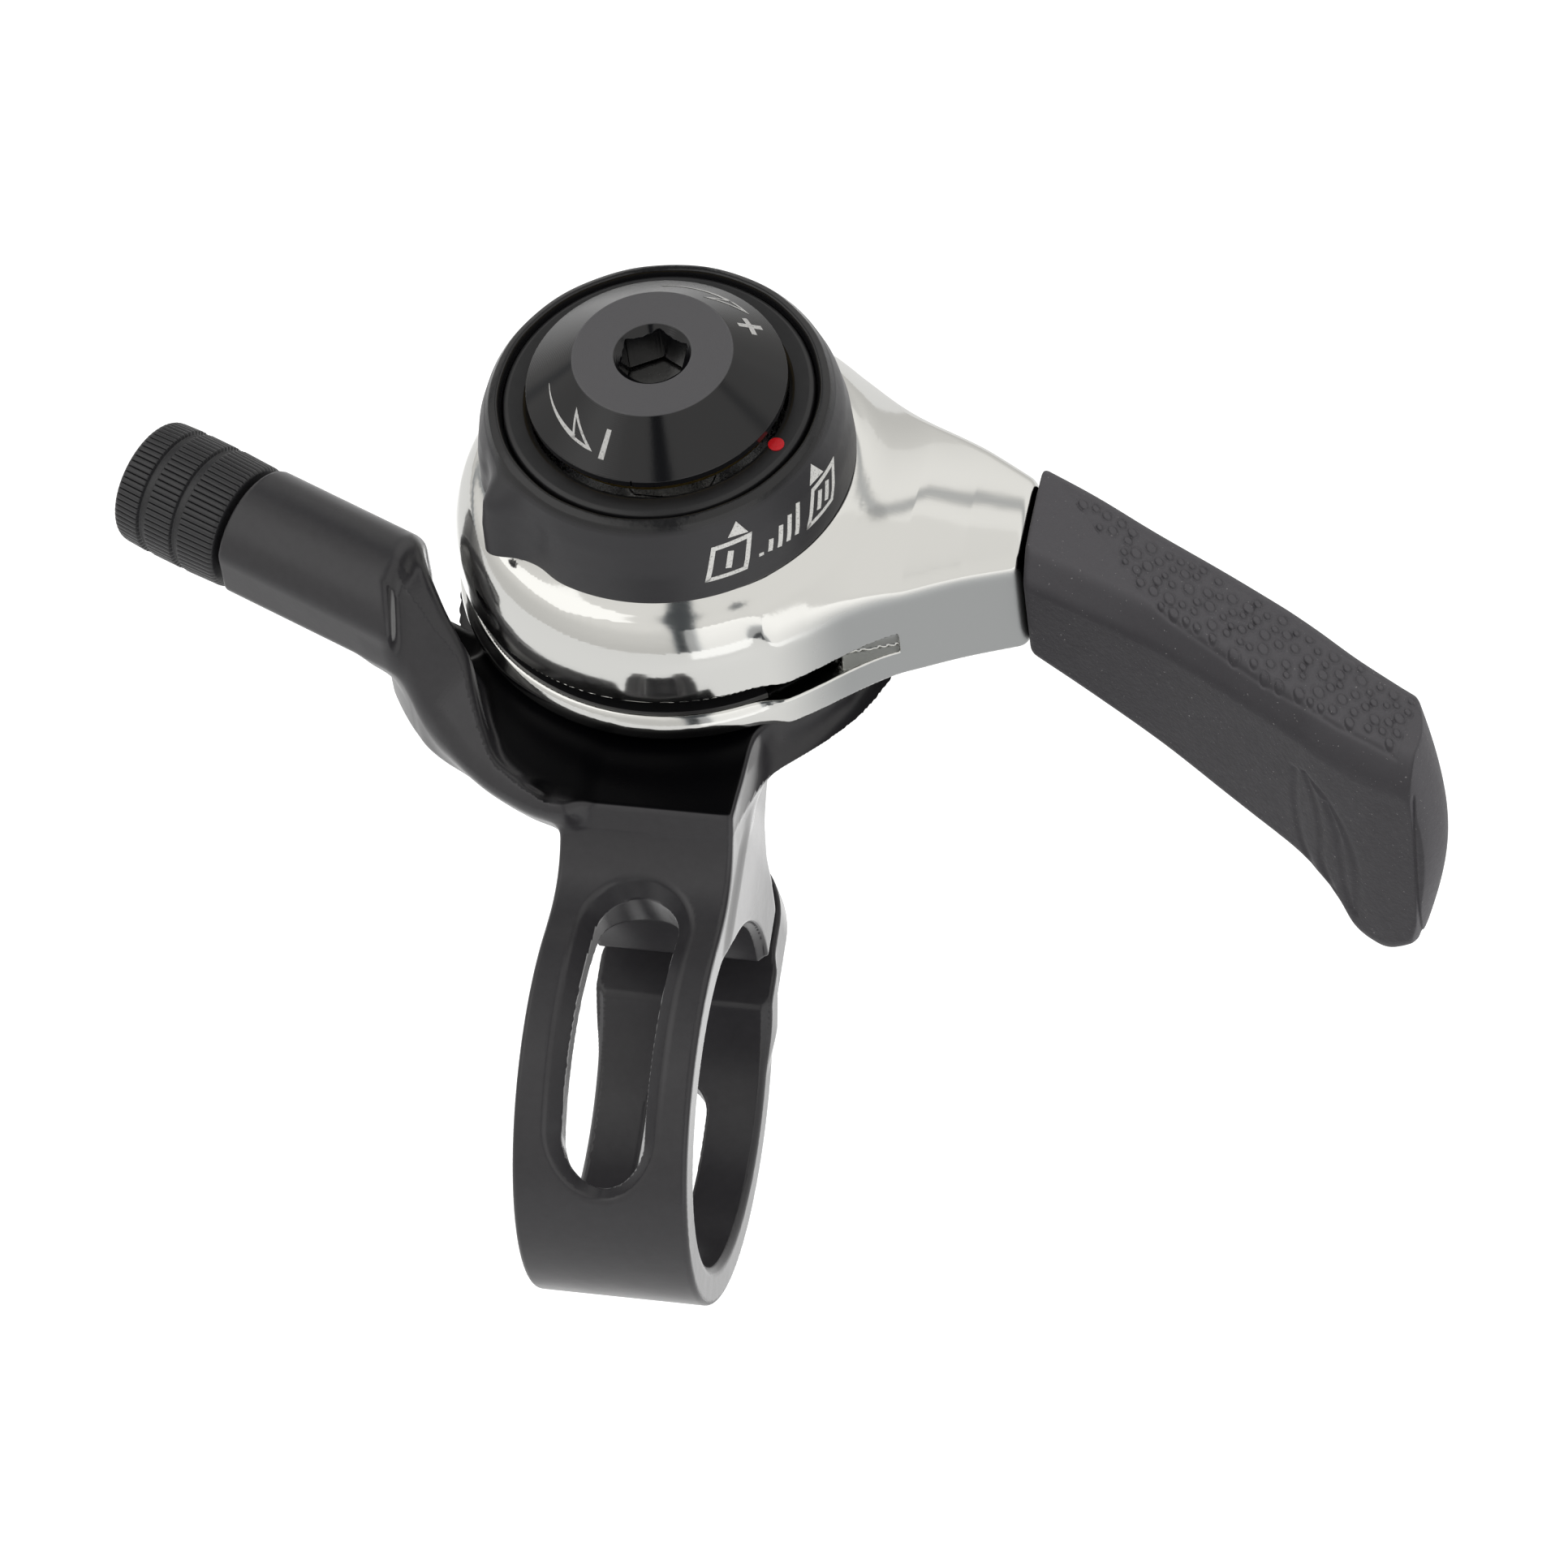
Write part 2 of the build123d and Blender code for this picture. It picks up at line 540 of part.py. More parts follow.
with BuildPart() as index_ring:
    add(turned([
        (STUD_R + RUN, RING_Z), (RING_R, RING_Z), (RING_R, RING_TOP - 0.15), (RING_R - 0.2, RING_TOP),
        (8.3, RING_TOP), (8.1, RING_STEP), (STUD_R + RUN, RING_STEP),
    ]))
    with BuildSketch(pod_plane(RING_Z)):
        for side in (-1, 1):
            with Locations((0, side * (KEY_FLAT + 0.5))):
                Rectangle(3.4, 1.0 - 2 * RUN)
    extrude(amount=RING_STEP - RING_Z)
    # radial hole for the dial's click ball and spring
    with BuildSketch(click_plane(6.4)):
        Circle(CLICK_R + 0.03)
    extrude(amount=5.0, mode=Mode.SUBTRACT)
    # recess for the red dot
    with BuildSketch(pod_plane(RING_TOP - 0.3, DOT_TURN)):
        with Locations((DOT_AT, 0)):
            Circle(DOT_R)
    extrude(amount=1.0, mode=Mode.SUBTRACT)
save(index_ring, "index_ring")

with BuildPart() as click_ball:
    with Locations(click_plane(RING_R - CLICK_R - 0.02)):
        Sphere(CLICK_R)
save(click_ball, "click_ball")

with BuildPart() as click_spring:
    with BuildSketch(click_plane(6.5)):
        Circle(CLICK_R - 0.05)
        Circle(CLICK_R - 0.25, mode=Mode.SUBTRACT)
    extrude(amount=RING_R - 2 * CLICK_R - 6.6)
save(click_spring, "click_spring")

with BuildPart() as index_dot:
    with BuildSketch(pod_plane(RING_TOP - 0.3, DOT_TURN)):
        with Locations((DOT_AT, 0)):
            Circle(DOT_R)
    extrude(amount=0.4)
save(index_dot, "index_dot")

with BuildPart() as wave_washer:
    add(turned(ring(RING_STEP, RING_STEP + 0.5, STUD_R + 0.1, 7.2)))
save(wave_washer, "wave_washer")

with BuildPart() as brass_washer:
    add(turned(ring(RING_STEP + 0.5, CAP_Z - RUN, THREAD_R + 0.1, 8.1)))
save(brass_washer, "brass_washer")

with BuildPart() as cap_nut:
    add(turned([
        (THREAD_R, CAP_Z), (CAP_R - 0.2, CAP_Z), (CAP_R, CAP_Z + 0.2), (CAP_R, CAP_Z + 0.5), (CAP_FLAT_R, CAP_TOP),
        (0, CAP_TOP), (0, CAP_TOP - 3.2), (THREAD_R, CAP_TOP - 3.2),
    ]))
    with BuildSketch(pod_plane(CAP_TOP - 3.5)):
        RegularPolygon(HEX_KEY / 2, 6, major_radius=False)
    extrude(amount=6, mode=Mode.SUBTRACT)
save(cap_nut, "cap_nut")

# ======================================================================================
# Barrel adjuster
# ======================================================================================
PITCH = 0.8
KNOB_RIBS = 44
RING_GROOVES = (27.75, 30.35)             # near sides of the two ring grooves
SEAT_BORE = 2.75                         # socket for the cable housing's ferrule
SEAT_DEPTH = 5.0
CABLE_HOLE = 0.9


def adjuster_turned(profile):
    """Solid of revolution on the adjuster's axis, from radius and distance outward."""
    with BuildPart() as made:
        with BuildSketch(Plane(cable_leaves, x_dir=(0, 0, 1), z_dir=to_pod)):
            with BuildLine():
                Polyline(*[(radius, distance) for radius, distance in profile], close=True)
            make_face()
        revolve(axis=Axis(cable_leaves, adjuster_dir))
    return made.part


with BuildPart() as barrel_adjuster:
    # ribbed grip in three bands
    with BuildSketch(adjuster_plane(KNOB_IN)):
        Circle(KNOB_R)
        with PolarLocations(KNOB_R + 0.05, KNOB_RIBS):
            Circle(0.17, mode=Mode.SUBTRACT)
    extrude(amount=KNOB_OUT - KNOB_IN)
    with BuildSketch(adjuster_plane(HOUSING_IN + 2.6)):
        Circle(SHANK_R)
    extrude(amount=KNOB_IN - HOUSING_IN - 2.6)
    for place in RING_GROOVES:
        with BuildSketch(adjuster_plane(place)):
            Circle(KNOB_R + 1)
            Circle(KNOB_R - 0.3, mode=Mode.SUBTRACT)
        extrude(amount=0.5, mode=Mode.SUBTRACT)
    with BuildSketch(adjuster_plane(HOUSING_IN)):
        Circle(CABLE_HOLE)
    extrude(amount=KNOB_OUT, mode=Mode.SUBTRACT)
    with BuildSketch(adjuster_plane(KNOB_OUT - SEAT_DEPTH - 1.0)):
        Circle(3.1)
    extrude(amount=10, mode=Mode.SUBTRACT)
save(barrel_adjuster, "barrel_adjuster")

with BuildPart() as adjuster_ferrule:
    with BuildSketch(adjuster_plane(KNOB_OUT - SEAT_DEPTH - 0.95)):
        Circle(3.05)
        Circle(CABLE_HOLE, mode=Mode.SUBTRACT)
    extrude(amount=SEAT_DEPTH + 0.75)
    with BuildSketch(adjuster_plane(KNOB_OUT - SEAT_DEPTH - 0.2)):
        Circle(SEAT_BORE)
    extrude(amount=SEAT_DEPTH + 1, mode=Mode.SUBTRACT)
save(adjuster_ferrule, "adjuster_ferrule")

with BuildPart() as adjuster_seal:
    with Locations(adjuster_plane(KNOB_IN - 0.22)):
        Torus(SHANK_R + 0.32, 0.22)
save(adjuster_seal, "adjuster_seal")
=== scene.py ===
"""Looks of the thumb shifter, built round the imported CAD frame.

Lengths in the shape functions are millimetres in the CAD frame: X along the handlebar,
Y forward, Z up along the lever's pivot. Meshes are written in metres.
"""

import json
import math
import random

import bmesh
import bpy
import numpy as np
from mathutils import Matrix, Vector


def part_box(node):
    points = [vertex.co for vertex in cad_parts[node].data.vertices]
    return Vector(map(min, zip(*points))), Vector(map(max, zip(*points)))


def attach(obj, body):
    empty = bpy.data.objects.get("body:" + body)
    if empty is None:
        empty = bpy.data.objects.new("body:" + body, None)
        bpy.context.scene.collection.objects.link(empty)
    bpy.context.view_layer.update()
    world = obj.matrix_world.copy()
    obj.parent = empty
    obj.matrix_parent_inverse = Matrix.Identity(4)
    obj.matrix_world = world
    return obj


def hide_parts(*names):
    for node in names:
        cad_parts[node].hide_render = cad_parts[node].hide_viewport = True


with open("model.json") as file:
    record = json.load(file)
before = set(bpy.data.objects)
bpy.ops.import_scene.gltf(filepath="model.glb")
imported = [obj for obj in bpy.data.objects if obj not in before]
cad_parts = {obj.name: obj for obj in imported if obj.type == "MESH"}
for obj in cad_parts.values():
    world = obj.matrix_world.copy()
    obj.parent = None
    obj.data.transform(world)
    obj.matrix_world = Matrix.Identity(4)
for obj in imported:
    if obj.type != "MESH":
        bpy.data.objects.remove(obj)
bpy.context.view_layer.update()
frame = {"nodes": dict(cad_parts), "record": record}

MM = 0.001
SEED = 7


def cad(node):
    """Lowest and highest corner of a CAD node, in millimetres."""
    low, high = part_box(node)
    return [c / MM for c in low], [c / MM for c in high]


def middle(node):
    low, high = cad(node)
    return [(a + b) / 2 for a, b in zip(low, high)]


# ---- places read from the frame ------------------------------------------------------
JOINTS = {joint["name"]: joint for joint in frame["record"]["behaviour"]["joints"]}
MOUNTS = {mount["name"]: mount for mount in frame["record"]["mounts"]}
BORE = MOUNTS["handlebar_clamp"]["dims"]["r_mm"]
BAND_HALF = MOUNTS["handlebar_clamp"]["dims"]["length_mm"] / 2
BAND_OUTER = -cad("clamp_bracket")[0][2]
POD = middle("cap_nut")[:2]  # the pivot, in X and Y
PLATFORM = cad("base_washer")[0][2]  # top of the bracket's platform
LEVER_LOW, LEVER_HIGH = cad("lever_body")[0][2], cad("lever_body")[1][2]
DIAL_LOW, DIAL_HIGH = LEVER_HIGH + 0.1, cad("mode_dial")[1][2]
RING_HIGH = cad("index_ring")[1][2]
CAP_LOW, CAP_HIGH = cad("cap_nut")[0][2], cad("cap_nut")[1][2]
GRIP_LOW, GRIP_HIGH = cad("lever_grip")
ARM_END = GRIP_LOW[0]

SLIDE_AXIS = Vector(JOINTS["adjuster_slide"]["axis"])
TO_POD = Vector((SLIDE_AXIS.y, -SLIDE_AXIS.x, 0))
CABLE_R = 13.85  # radius of the cable's wrap round the pivot
CABLE_EXIT = Vector((POD[0], POD[1], middle("barrel_adjuster")[2])) - TO_POD * CABLE_R


# ---- Signed distance shapes. Each takes arrays of coordinates and gives distances. ---
def union(a, b, blend=0.0):
    if blend <= 0:
        return np.minimum(a, b)
    h = np.maximum(blend - np.abs(a - b), 0) / blend
    return np.minimum(a, b) - h * h * blend / 4


def both(a, b, blend=0.0):
    return -union(-a, -b, blend)


def cut(a, b, blend=0.0):
    return -union(-a, b, blend)


def smoothstep(low, high, value):
    t = np.clip((value - low) / (high - low), 0, 1)
    return t * t * (3 - 2 * t)


def polygon(x, y, points):
    """Distance to a polygon, negative inside."""
    nearest = np.full(np.shape(x), 1e9, np.float32)
    inside = np.zeros(np.shape(x), bool)
    for (ax, ay), (bx, by) in zip(points, points[-1:] + points[:-1]):
        ex, ey = bx - ax, by - ay
        wx, wy = x - ax, y - ay
        t = np.clip((wx * ex + wy * ey) / (ex * ex + ey * ey), 0, 1)
        nearest = np.minimum(nearest, (wx - ex * t) ** 2 + (wy - ey * t) ** 2)
        above, below, left = y >= ay, y < by, ex * wy > ey * wx
        inside ^= (above & below & left) | ~(above | below | left)
    return np.where(inside, -1, 1) * np.sqrt(nearest)


def rounded_corner(side, cap, edge):
    """Distance to the meeting of two faces, its edge rounded."""
    side, cap = side + edge, cap + edge
    return np.minimum(np.maximum(side, cap), 0) + np.hypot(np.maximum(side, 0), np.maximum(cap, 0)) - edge


def extruded(flat, z, low, high, edge=0.0):
    """Slab with a flat outline distance, between two heights, its edges rounded."""
    return rounded_corner(flat, np.abs(z - (low + high) / 2) - (high - low) / 2, edge)


def slot2(x, y, half_length, radius):
    """Straight slot along y."""
    return np.hypot(x, np.maximum(np.abs(y) - half_length, 0)) - radius


def smooth_line(points, steps=6):
    """Points of a smooth curve through the given points."""
    pts = [np.array(p, float) for p in points]
    ends = [2 * pts[0] - pts[1]] + pts + [2 * pts[-1] - pts[-2]]
    out = []
    for a, b, c, d in zip(ends, ends[1:], ends[2:], ends[3:]):
        for i in range(steps):
            t = i / steps
            out.append(0.5 * (2 * b + (c - a) * t + (2 * a - 5 * b + 4 * c - d) * t * t
                              + (3 * b - a - 3 * c + d) * t ** 3))
    return [tuple(p) for p in out + [pts[-1]]]


def looked_up(place, table):
    """Value at a place on the smooth curve through a table of (place, value)."""
    return np.interp(place, *zip(*smooth_line(table)))


def round_pod(x, y):
    """Distance from the pivot and turn round it, in radians."""
    px, py = x - POD[0], y - POD[1]
    return np.hypot(px, py), np.arctan2(py, px)


def local(x, y, z, origin, axis):
    """Coordinates across, up and along a level axis through origin."""
    along = Vector(axis).normalized()
    across = Vector((0, 0, 1)).cross(along)
    dx, dy, dz = x - origin[0], y - origin[1], z - origin[2]
    return dx * across.x + dy * across.y, dz, dx * along.x + dy * along.y


# ---- Meshing -------------------------------------------------------------------------
BLOCK = 8


def sample(field, low, step, dims):
    """Field on a grid, worked out in full only in the blocks near its surface."""
    blocks = [math.ceil(d / BLOCK) for d in dims]
    centres = [(np.arange(b) + 0.5) * BLOCK * step + l for b, l in zip(blocks, low)]
    grids = np.meshgrid(*centres, indexing="ij")
    rough = field(*[g.astype(np.float32) for g in grids])
    values = np.repeat(np.repeat(np.repeat(rough, BLOCK, 0), BLOCK, 1), BLOCK, 2).astype(np.float32)
    near = np.argwhere(np.abs(rough) < BLOCK * step * 1.25)
    offsets = np.stack(np.meshgrid(*[np.arange(BLOCK)] * 3, indexing="ij"), -1).reshape(-1, 3)
    for start in range(0, len(near), 2000):
        places = (near[start:start + 2000, None] * BLOCK + offsets).reshape(-1, 3)
        coords = [(places[:, k] * step + low[k]).astype(np.float32) for k in range(3)]
        values[tuple(places.T)] = field(*coords)
    return values


def surface_net(values, low, step):
    """Quads over the zero surface of a sampled field."""
    dims = values.shape
    corners, crossings = [], []
    for axis in range(3):
        ahead, behind = [slice(None)] * 3, [slice(None)] * 3
        ahead[axis], behind[axis] = slice(1, None), slice(0, -1)
        place = np.argwhere((values[tuple(ahead)] < 0) != (values[tuple(behind)] < 0))
        u, v = (axis + 1) % 3, (axis + 2) % 3
        place = place[(place[:, u] > 0) & (place[:, v] > 0)]
        far = place.copy()
        far[:, axis] += 1
        first, last = values[tuple(place.T)], values[tuple(far.T)]
        point = place.astype(float)
        point[:, axis] += first / (first - last)
        ring = []
        for du, dv in ((0, 0), (-1, 0), (-1, -1), (0, -1)):
            cell = place.copy()
            cell[:, u] += du
            cell[:, v] += dv
            ring.append(np.ravel_multi_index(cell.T, dims))
        ring = np.stack(ring, 1)
        ring[first > 0] = ring[first > 0][:, ::-1]
        corners.append(ring)
        crossings.append(np.repeat(point, 4, 0))
    corners = np.concatenate(corners)
    crossings = np.concatenate(crossings)
    _, which, count = np.unique(corners.ravel(), return_inverse=True, return_counts=True)
    verts = np.stack([np.bincount(which, crossings[:, k]) / count for k in range(3)], 1)
    return verts * step + np.array(low), which.reshape(-1, 4)


def gradient(field, p, reach=0.02):
    """Unit normals of a field at points."""
    out = np.empty_like(p)
    for k in range(3):
        a, b = p.copy(), p.copy()
        a[:, k] += reach
        b[:, k] -= reach
        out[:, k] = field(*a.T) - field(*b.T)
    return out / np.maximum(np.linalg.norm(out, axis=1, keepdims=True), 1e-9)


def new_mesh(name, verts, faces, normals=None):
    """Mesh object from vertices in millimetres and equal-sized faces."""
    mesh = bpy.data.meshes.new(name)
    faces = np.asarray(faces, np.int32)
    mesh.vertices.add(len(verts))
    mesh.vertices.foreach_set("co", (np.asarray(verts) * MM).astype(np.float32).ravel())
    mesh.loops.add(faces.size)
    mesh.loops.foreach_set("vertex_index", faces.ravel())
    mesh.polygons.add(len(faces))
    mesh.polygons.foreach_set("loop_start", np.arange(0, faces.size, faces.shape[1], dtype=np.int32))
    mesh.polygons.foreach_set("use_smooth", np.ones(len(faces), bool))
    mesh.update(calc_edges=True)
    mesh.validate()
    if normals is not None:
        mesh.normals_split_custom_set_from_vertices(normals.astype(np.float32))
    obj = bpy.data.objects.new(name, mesh)
    bpy.context.scene.collection.objects.link(obj)
    return obj


def solid_from(name, field, low, high, step):
    """Mesh of a signed distance shape, its vertices pulled onto the true surface."""
    step = step * 1.0
    low = [l - 2 * step for l in low]
    dims = [int(math.ceil((h + 2 * step - l) / step / BLOCK)) * BLOCK for l, h in zip(low, high)]
    verts, faces = surface_net(sample(field, low, step, dims), low, step)
    for _ in range(2):
        verts -= gradient(field, verts) * np.clip(field(*verts.T), -step, step)[:, None] * 0.9
    return new_mesh(name, verts, faces, gradient(field, verts))


def rounded(profile, steps=5):
    """Closed profile of (radius, height, corner radius) with its corners rounded."""
    out = []
    for i, (r, h, corner) in enumerate(profile):
        here = Vector((r, h))
        back = Vector(profile[i - 1][:2]) - here
        on = Vector(profile[(i + 1) % len(profile)][:2]) - here
        if corner <= 0:
            out.append((r, h))
            continue
        reach = min(corner / math.tan(back.angle(on) / 2), back.length * 0.49, on.length * 0.49)
        start, end = here + back.normalized() * reach, here + on.normalized() * reach
        for k in range(steps + 1):
            t = k / steps
            out.append(tuple(start * (1 - t) ** 2 + here * 2 * t * (1 - t) + end * t * t))
    return out


def sharp_where_bent(obj, angle=38):
    """Welds doubled points and marks the edges that bend more than an angle as sharp."""
    mesh = bmesh.new()
    mesh.from_mesh(obj.data)
    bmesh.ops.remove_doubles(mesh, verts=mesh.verts, dist=1e-7)
    bmesh.ops.dissolve_degenerate(mesh, edges=mesh.edges, dist=1e-7)
    bmesh.ops.recalc_face_normals(mesh, faces=mesh.faces)
    for face in mesh.faces:
        face.smooth = True
    for edge in mesh.edges:
        if len(edge.link_faces) == 2 and edge.calc_face_angle() > math.radians(angle):
            edge.smooth = False
    mesh.to_mesh(obj.data)
    mesh.free()
    return obj


def lathe(name, profile, origin, axis=(0, 0, 1), around=192, shape=None):
    """Closed ring or solid turned about an axis. shape changes (radius, height, turn)."""
    along = Vector(axis).normalized()
    side = Vector((1, 0, 0)) if abs(along.x) < 0.9 else Vector((0, 0, 1))
    side = (side - along * side.dot(along)).normalized()
    other = along.cross(side)
    turns = np.arange(around) * 2 * math.pi / around
    r = np.array([p[0] for p in profile])[:, None] + 0 * turns
    h = np.array([p[1] for p in profile])[:, None] + 0 * turns
    a = turns[None, :] + 0 * r
    if shape:
        r, h = shape(r, h, a)
    cos, sin = np.cos(a), np.sin(a)
    verts = np.stack([origin[k] + along[k] * h + r * (cos * side[k] + sin * other[k]) for k in range(3)], -1)
    count = len(profile)
    i, j = np.meshgrid(np.arange(count), np.arange(around), indexing="ij")
    ni, nj = (i + 1) % count, (j + 1) % around
    faces = np.stack([i * around + j, i * around + nj, ni * around + nj, ni * around + j], -1)
    return sharp_where_bent(new_mesh(name, verts.reshape(-1, 3), faces.reshape(-1, 4)))


# ---- Bracket -------------------------------------------------------------------------
DISC_R = 13.8
DISC_LOW = 14.2
NECK_BLEND, EASE = 5.0, 0.35  # blend of the neck into the band; roundness of outer edges
NECK = [(5.9, 10.4), (10.0, PLATFORM + 1), (26.0, PLATFORM + 1), (26.0, 14.2), (21.5, 12.6),
        (17.4, 9.6), (14.6, 6.6), (13.4, 1.0), (8.5, 1.0)]
PLATE = [(-4.8, 10.5), (-8.6, 11.2), (-11.4, 14.1), (-14.0, 19.5), tuple(POD), (4.6, 20.0), (4.6, 10.5)]
FLARE = [(0.0, 13.0), (5.2, 13.0), (6.2, 15.4), (7.2, 17.6), (8.9, 21.4), (0.0, 24.0)]
# the arm runs round the lever hub: turn in degrees, then height or radius
CREST = [(190, 24.6), (201, 24.9), (209, 24.7), (215, 23.6), (223, 21.6), (229, 20.2), (237, 19.0),
         (243, 18.4), (255, 18.0)]
ARM_IN = [(190, 16.7), (201, 16.6), (209, 16.5), (215, 16.4), (223, 16.2), (229, 16.9), (237, 18.2),
          (243, 19.2), (255, 20.0)]
ARM_OUT = [(203, 24.2), (208, 22.4), (212, 21.3), (215, 20.75), (219, 20.5), (224, 20.55), (231, 20.8),
           (239, 21.3), (247, 21.55), (255, 21.6), (264, 20.6)]
ARM_SIDE = -4.2  # where the arm ends on the platform, in X
ARM_FALL = 0.75  # slope of the arm's outer face, down from its crest
ARM_REACH, ARM_TO_HUB = 13.4, 3.0  # its end inside the housing, and its limit toward the hub
RIDGE = [(206, 2.2), (225, 0.8)]  # width of the flat on its crest
ARM_LEAN, ARM_LEAN_FROM = 0.5, 17.5  # its outer side leans in below this height
ARM_FOOT_R, ARM_FOOT = 20.5, (17.4, 19.2)  # it stays inside this radius under the housing
HOUSING_IN, HOUSING_OUT = 11.6, 24.4
HOUSING_END = (0.3, 0.6, 1.5)  # slopes of its inner end, and where the second one starts
HOUSING_R, HOUSING_HALF, HOUSING_LOW = 4.35, 4.05, 2.9  # round top, flat sides, flat underside
THREAD_FROM, THREAD_R = 12.4, 2.56  # inner end and radius of the adjuster's thread
CABLE_FROM, CABLE_HOLE = 4.0, 0.9  # the cable's hole goes on alone to here
CLAMP_TILT = math.radians(17.0)
BOLT_OFFSET, LUG_HALF = 14.6, 3.0
SPLIT, SPLIT_DEPTH = (-7.1, -3.6), 8.0  # lower and upper face of the split, and its reach inward
EAR, EAR_TOP = 3.6, 9.5  # thickness of the lower ear, top of the upper one
BOLT_HOLE, BOLT_TOP = 2.6, 5.2
STUD_SEAT_R, STUD_HEAD_R, STUD_HEAD_TOP = 4.0, 6.2, 13.0
SLOTS = [(106.5, 89.0, 2.7), (-77.0, 42.0, 2.0)]  # middle and span of each slot, degrees, and half width
SLOT_BEVEL = 1.0


def arm_field(x, y, z):
    """Arm of the bracket, from the platform round the lever hub, and the cable housing at its end."""
    r, turn = round_pod(x, y)
    turn = np.degrees(turn) % 360
    inner, outer, crest = [looked_up(turn, table) for table in (ARM_IN, ARM_OUT, CREST)]
    undercut = ARM_LEAN * np.maximum(ARM_LEAN_FROM - z, 0) * smoothstep(222, 240, turn)
    foot = np.maximum(outer - ARM_FOOT_R, 0) * smoothstep(-ARM_FOOT[1], -ARM_FOOT[0], -z)
    undercut += foot * (1 - smoothstep(220, 230, turn))
    ridge = np.interp(turn, *zip(*RIDGE))
    top = (z - crest + ARM_FALL * np.maximum(r - inner - ridge, 0)) * 0.8
    arm = both(r - outer + undercut, top, 1.4)
    arm = cut(arm, both(r - inner, PLATFORM - z, 0.8), 0.9)
    a, b, c = local(x, y, z, CABLE_EXIT, SLIDE_AXIS)
    arm = both(arm, np.maximum(np.maximum(c - ARM_REACH, x - ARM_SIDE), -a - ARM_TO_HUB), 1.2)
    arm = both(arm, DISC_LOW - 0.1 - z, 0.9)
    outline = both(np.hypot(a, b) - HOUSING_R, np.abs(a) - HOUSING_HALF, 0.15)
    outline = both(outline, -b - HOUSING_LOW, 1.5)
    inward, outward, bend = HOUSING_END
    end = HOUSING_IN - c - inward * np.minimum(a, 0) - outward * np.maximum(a - bend, 0)
    housing = both(extruded(outline, c, 0, HOUSING_OUT, 0.3), end, 1.2)
    return union(arm, housing, 0.7)


def bracket_field(x, y, z):
    from_pod = np.hypot(x - POD[0], y - POD[1])
    from_bar = np.hypot(y, z)
    # band and neck share one profile along the bar
    side = union(from_bar - BAND_OUTER, polygon(y, z, NECK), NECK_BLEND)
    shape = extruded(side, x, -BAND_HALF, BAND_HALF, EASE)
    # ears round the pinch bolt
    out = y * math.cos(CLAMP_TILT) + z * math.sin(CLAMP_TILT) - BOLT_OFFSET
    high = z * math.cos(CLAMP_TILT) - y * math.sin(CLAMP_TILT)
    lug = slot2(x, out + LUG_HALF, LUG_HALF, BAND_HALF - 0.05)
    lower = extruded(lug, high, SPLIT[0] - EAR, SPLIT[0] + 0.4, 0.4)
    upper = extruded(lug, high, SPLIT[1] - 0.4, EAR_TOP, 0.4)
    shape = union(shape, union(lower, upper), 1.2)
    # platform under the lever, blended into the neck, with a cone below
    plate = union(from_pod - DISC_R, polygon(x, y, PLATE), 1.0)
    disc = extruded(plate, z, DISC_LOW, PLATFORM + 1.0, 0.5)
    disc = union(disc, extruded(polygon(x, y, FLARE), z, DISC_LOW, 15.4, 0.5), 3.5)
    cone = np.maximum(from_pod * 0.45 + (DISC_LOW + 0.4 - z) * 0.9 - 6.6, z - DISC_LOW - 0.8)
    shape = union(shape, union(disc, cone, 1.5), 1.5)
    shape = both(shape, z - PLATFORM, EASE)
    # arm, with a soft corner where it meets the platform
    shape = union(shape, arm_field(x, y, z), 1.0)
    a, b, c = local(x, y, z, CABLE_EXIT, SLIDE_AXIS)
    # bore with eased edges, split and bolt hole
    bore = from_bar - BORE - np.clip(np.abs(x) - BAND_HALF + EASE, 0, EASE)
    shape = cut(shape, bore, 0.25)
    split = np.maximum(np.maximum(SPLIT[0] - high, high - SPLIT[1]), -(out + SPLIT_DEPTH))
    shape = cut(shape, split, 0.3)
    shape = cut(shape, np.maximum(np.hypot(x, out) - BOLT_HOLE, high - BOLT_TOP), 0.2)
    # long slots in the band, their mouths bevelled
    for turn, span, width in SLOTS:
        t = math.radians(turn)
        along = z * math.cos(t) - y * math.sin(t)
        depth = y * math.cos(t) + z * math.sin(t)
        half_length = BAND_OUTER * math.sin(math.radians(span / 2)) - width
        slot = slot2(x, along, half_length, width)
        bevel = (slot - SLOT_BEVEL - side) * 0.71
        shape = cut(shape, np.maximum(union(slot, bevel), 2.0 - depth), 0.2)
    # seat of the stud and its head, and the adjuster's thread
    shape = cut(shape, np.maximum(from_pod - STUD_SEAT_R, -z), 0.15)
    shape = cut(shape, np.maximum(from_pod - STUD_HEAD_R, z - STUD_HEAD_TOP), 0.3)
    shape = cut(shape, np.maximum(np.hypot(a, b) - THREAD_R, THREAD_FROM - c), 0.2)
    return cut(shape, np.maximum(np.hypot(a, b) - CABLE_HOLE, CABLE_FROM - c), 0.1)


# ---- Lever ---------------------------------------------------------------------------
ARM_FRONT = [(8.0, 18.0), (9.6, 19.0), (11.3, 20.1), (13.3, 21.2), (15.5, 22.2), (18.6, 23.6),
             (ARM_END, 25.1)]
ARM_BACK = [(ARM_END, 32.5), (18.4, 35.1), (14.8, 36.9), (11.2, 38.5), (7.6, 40.6)]
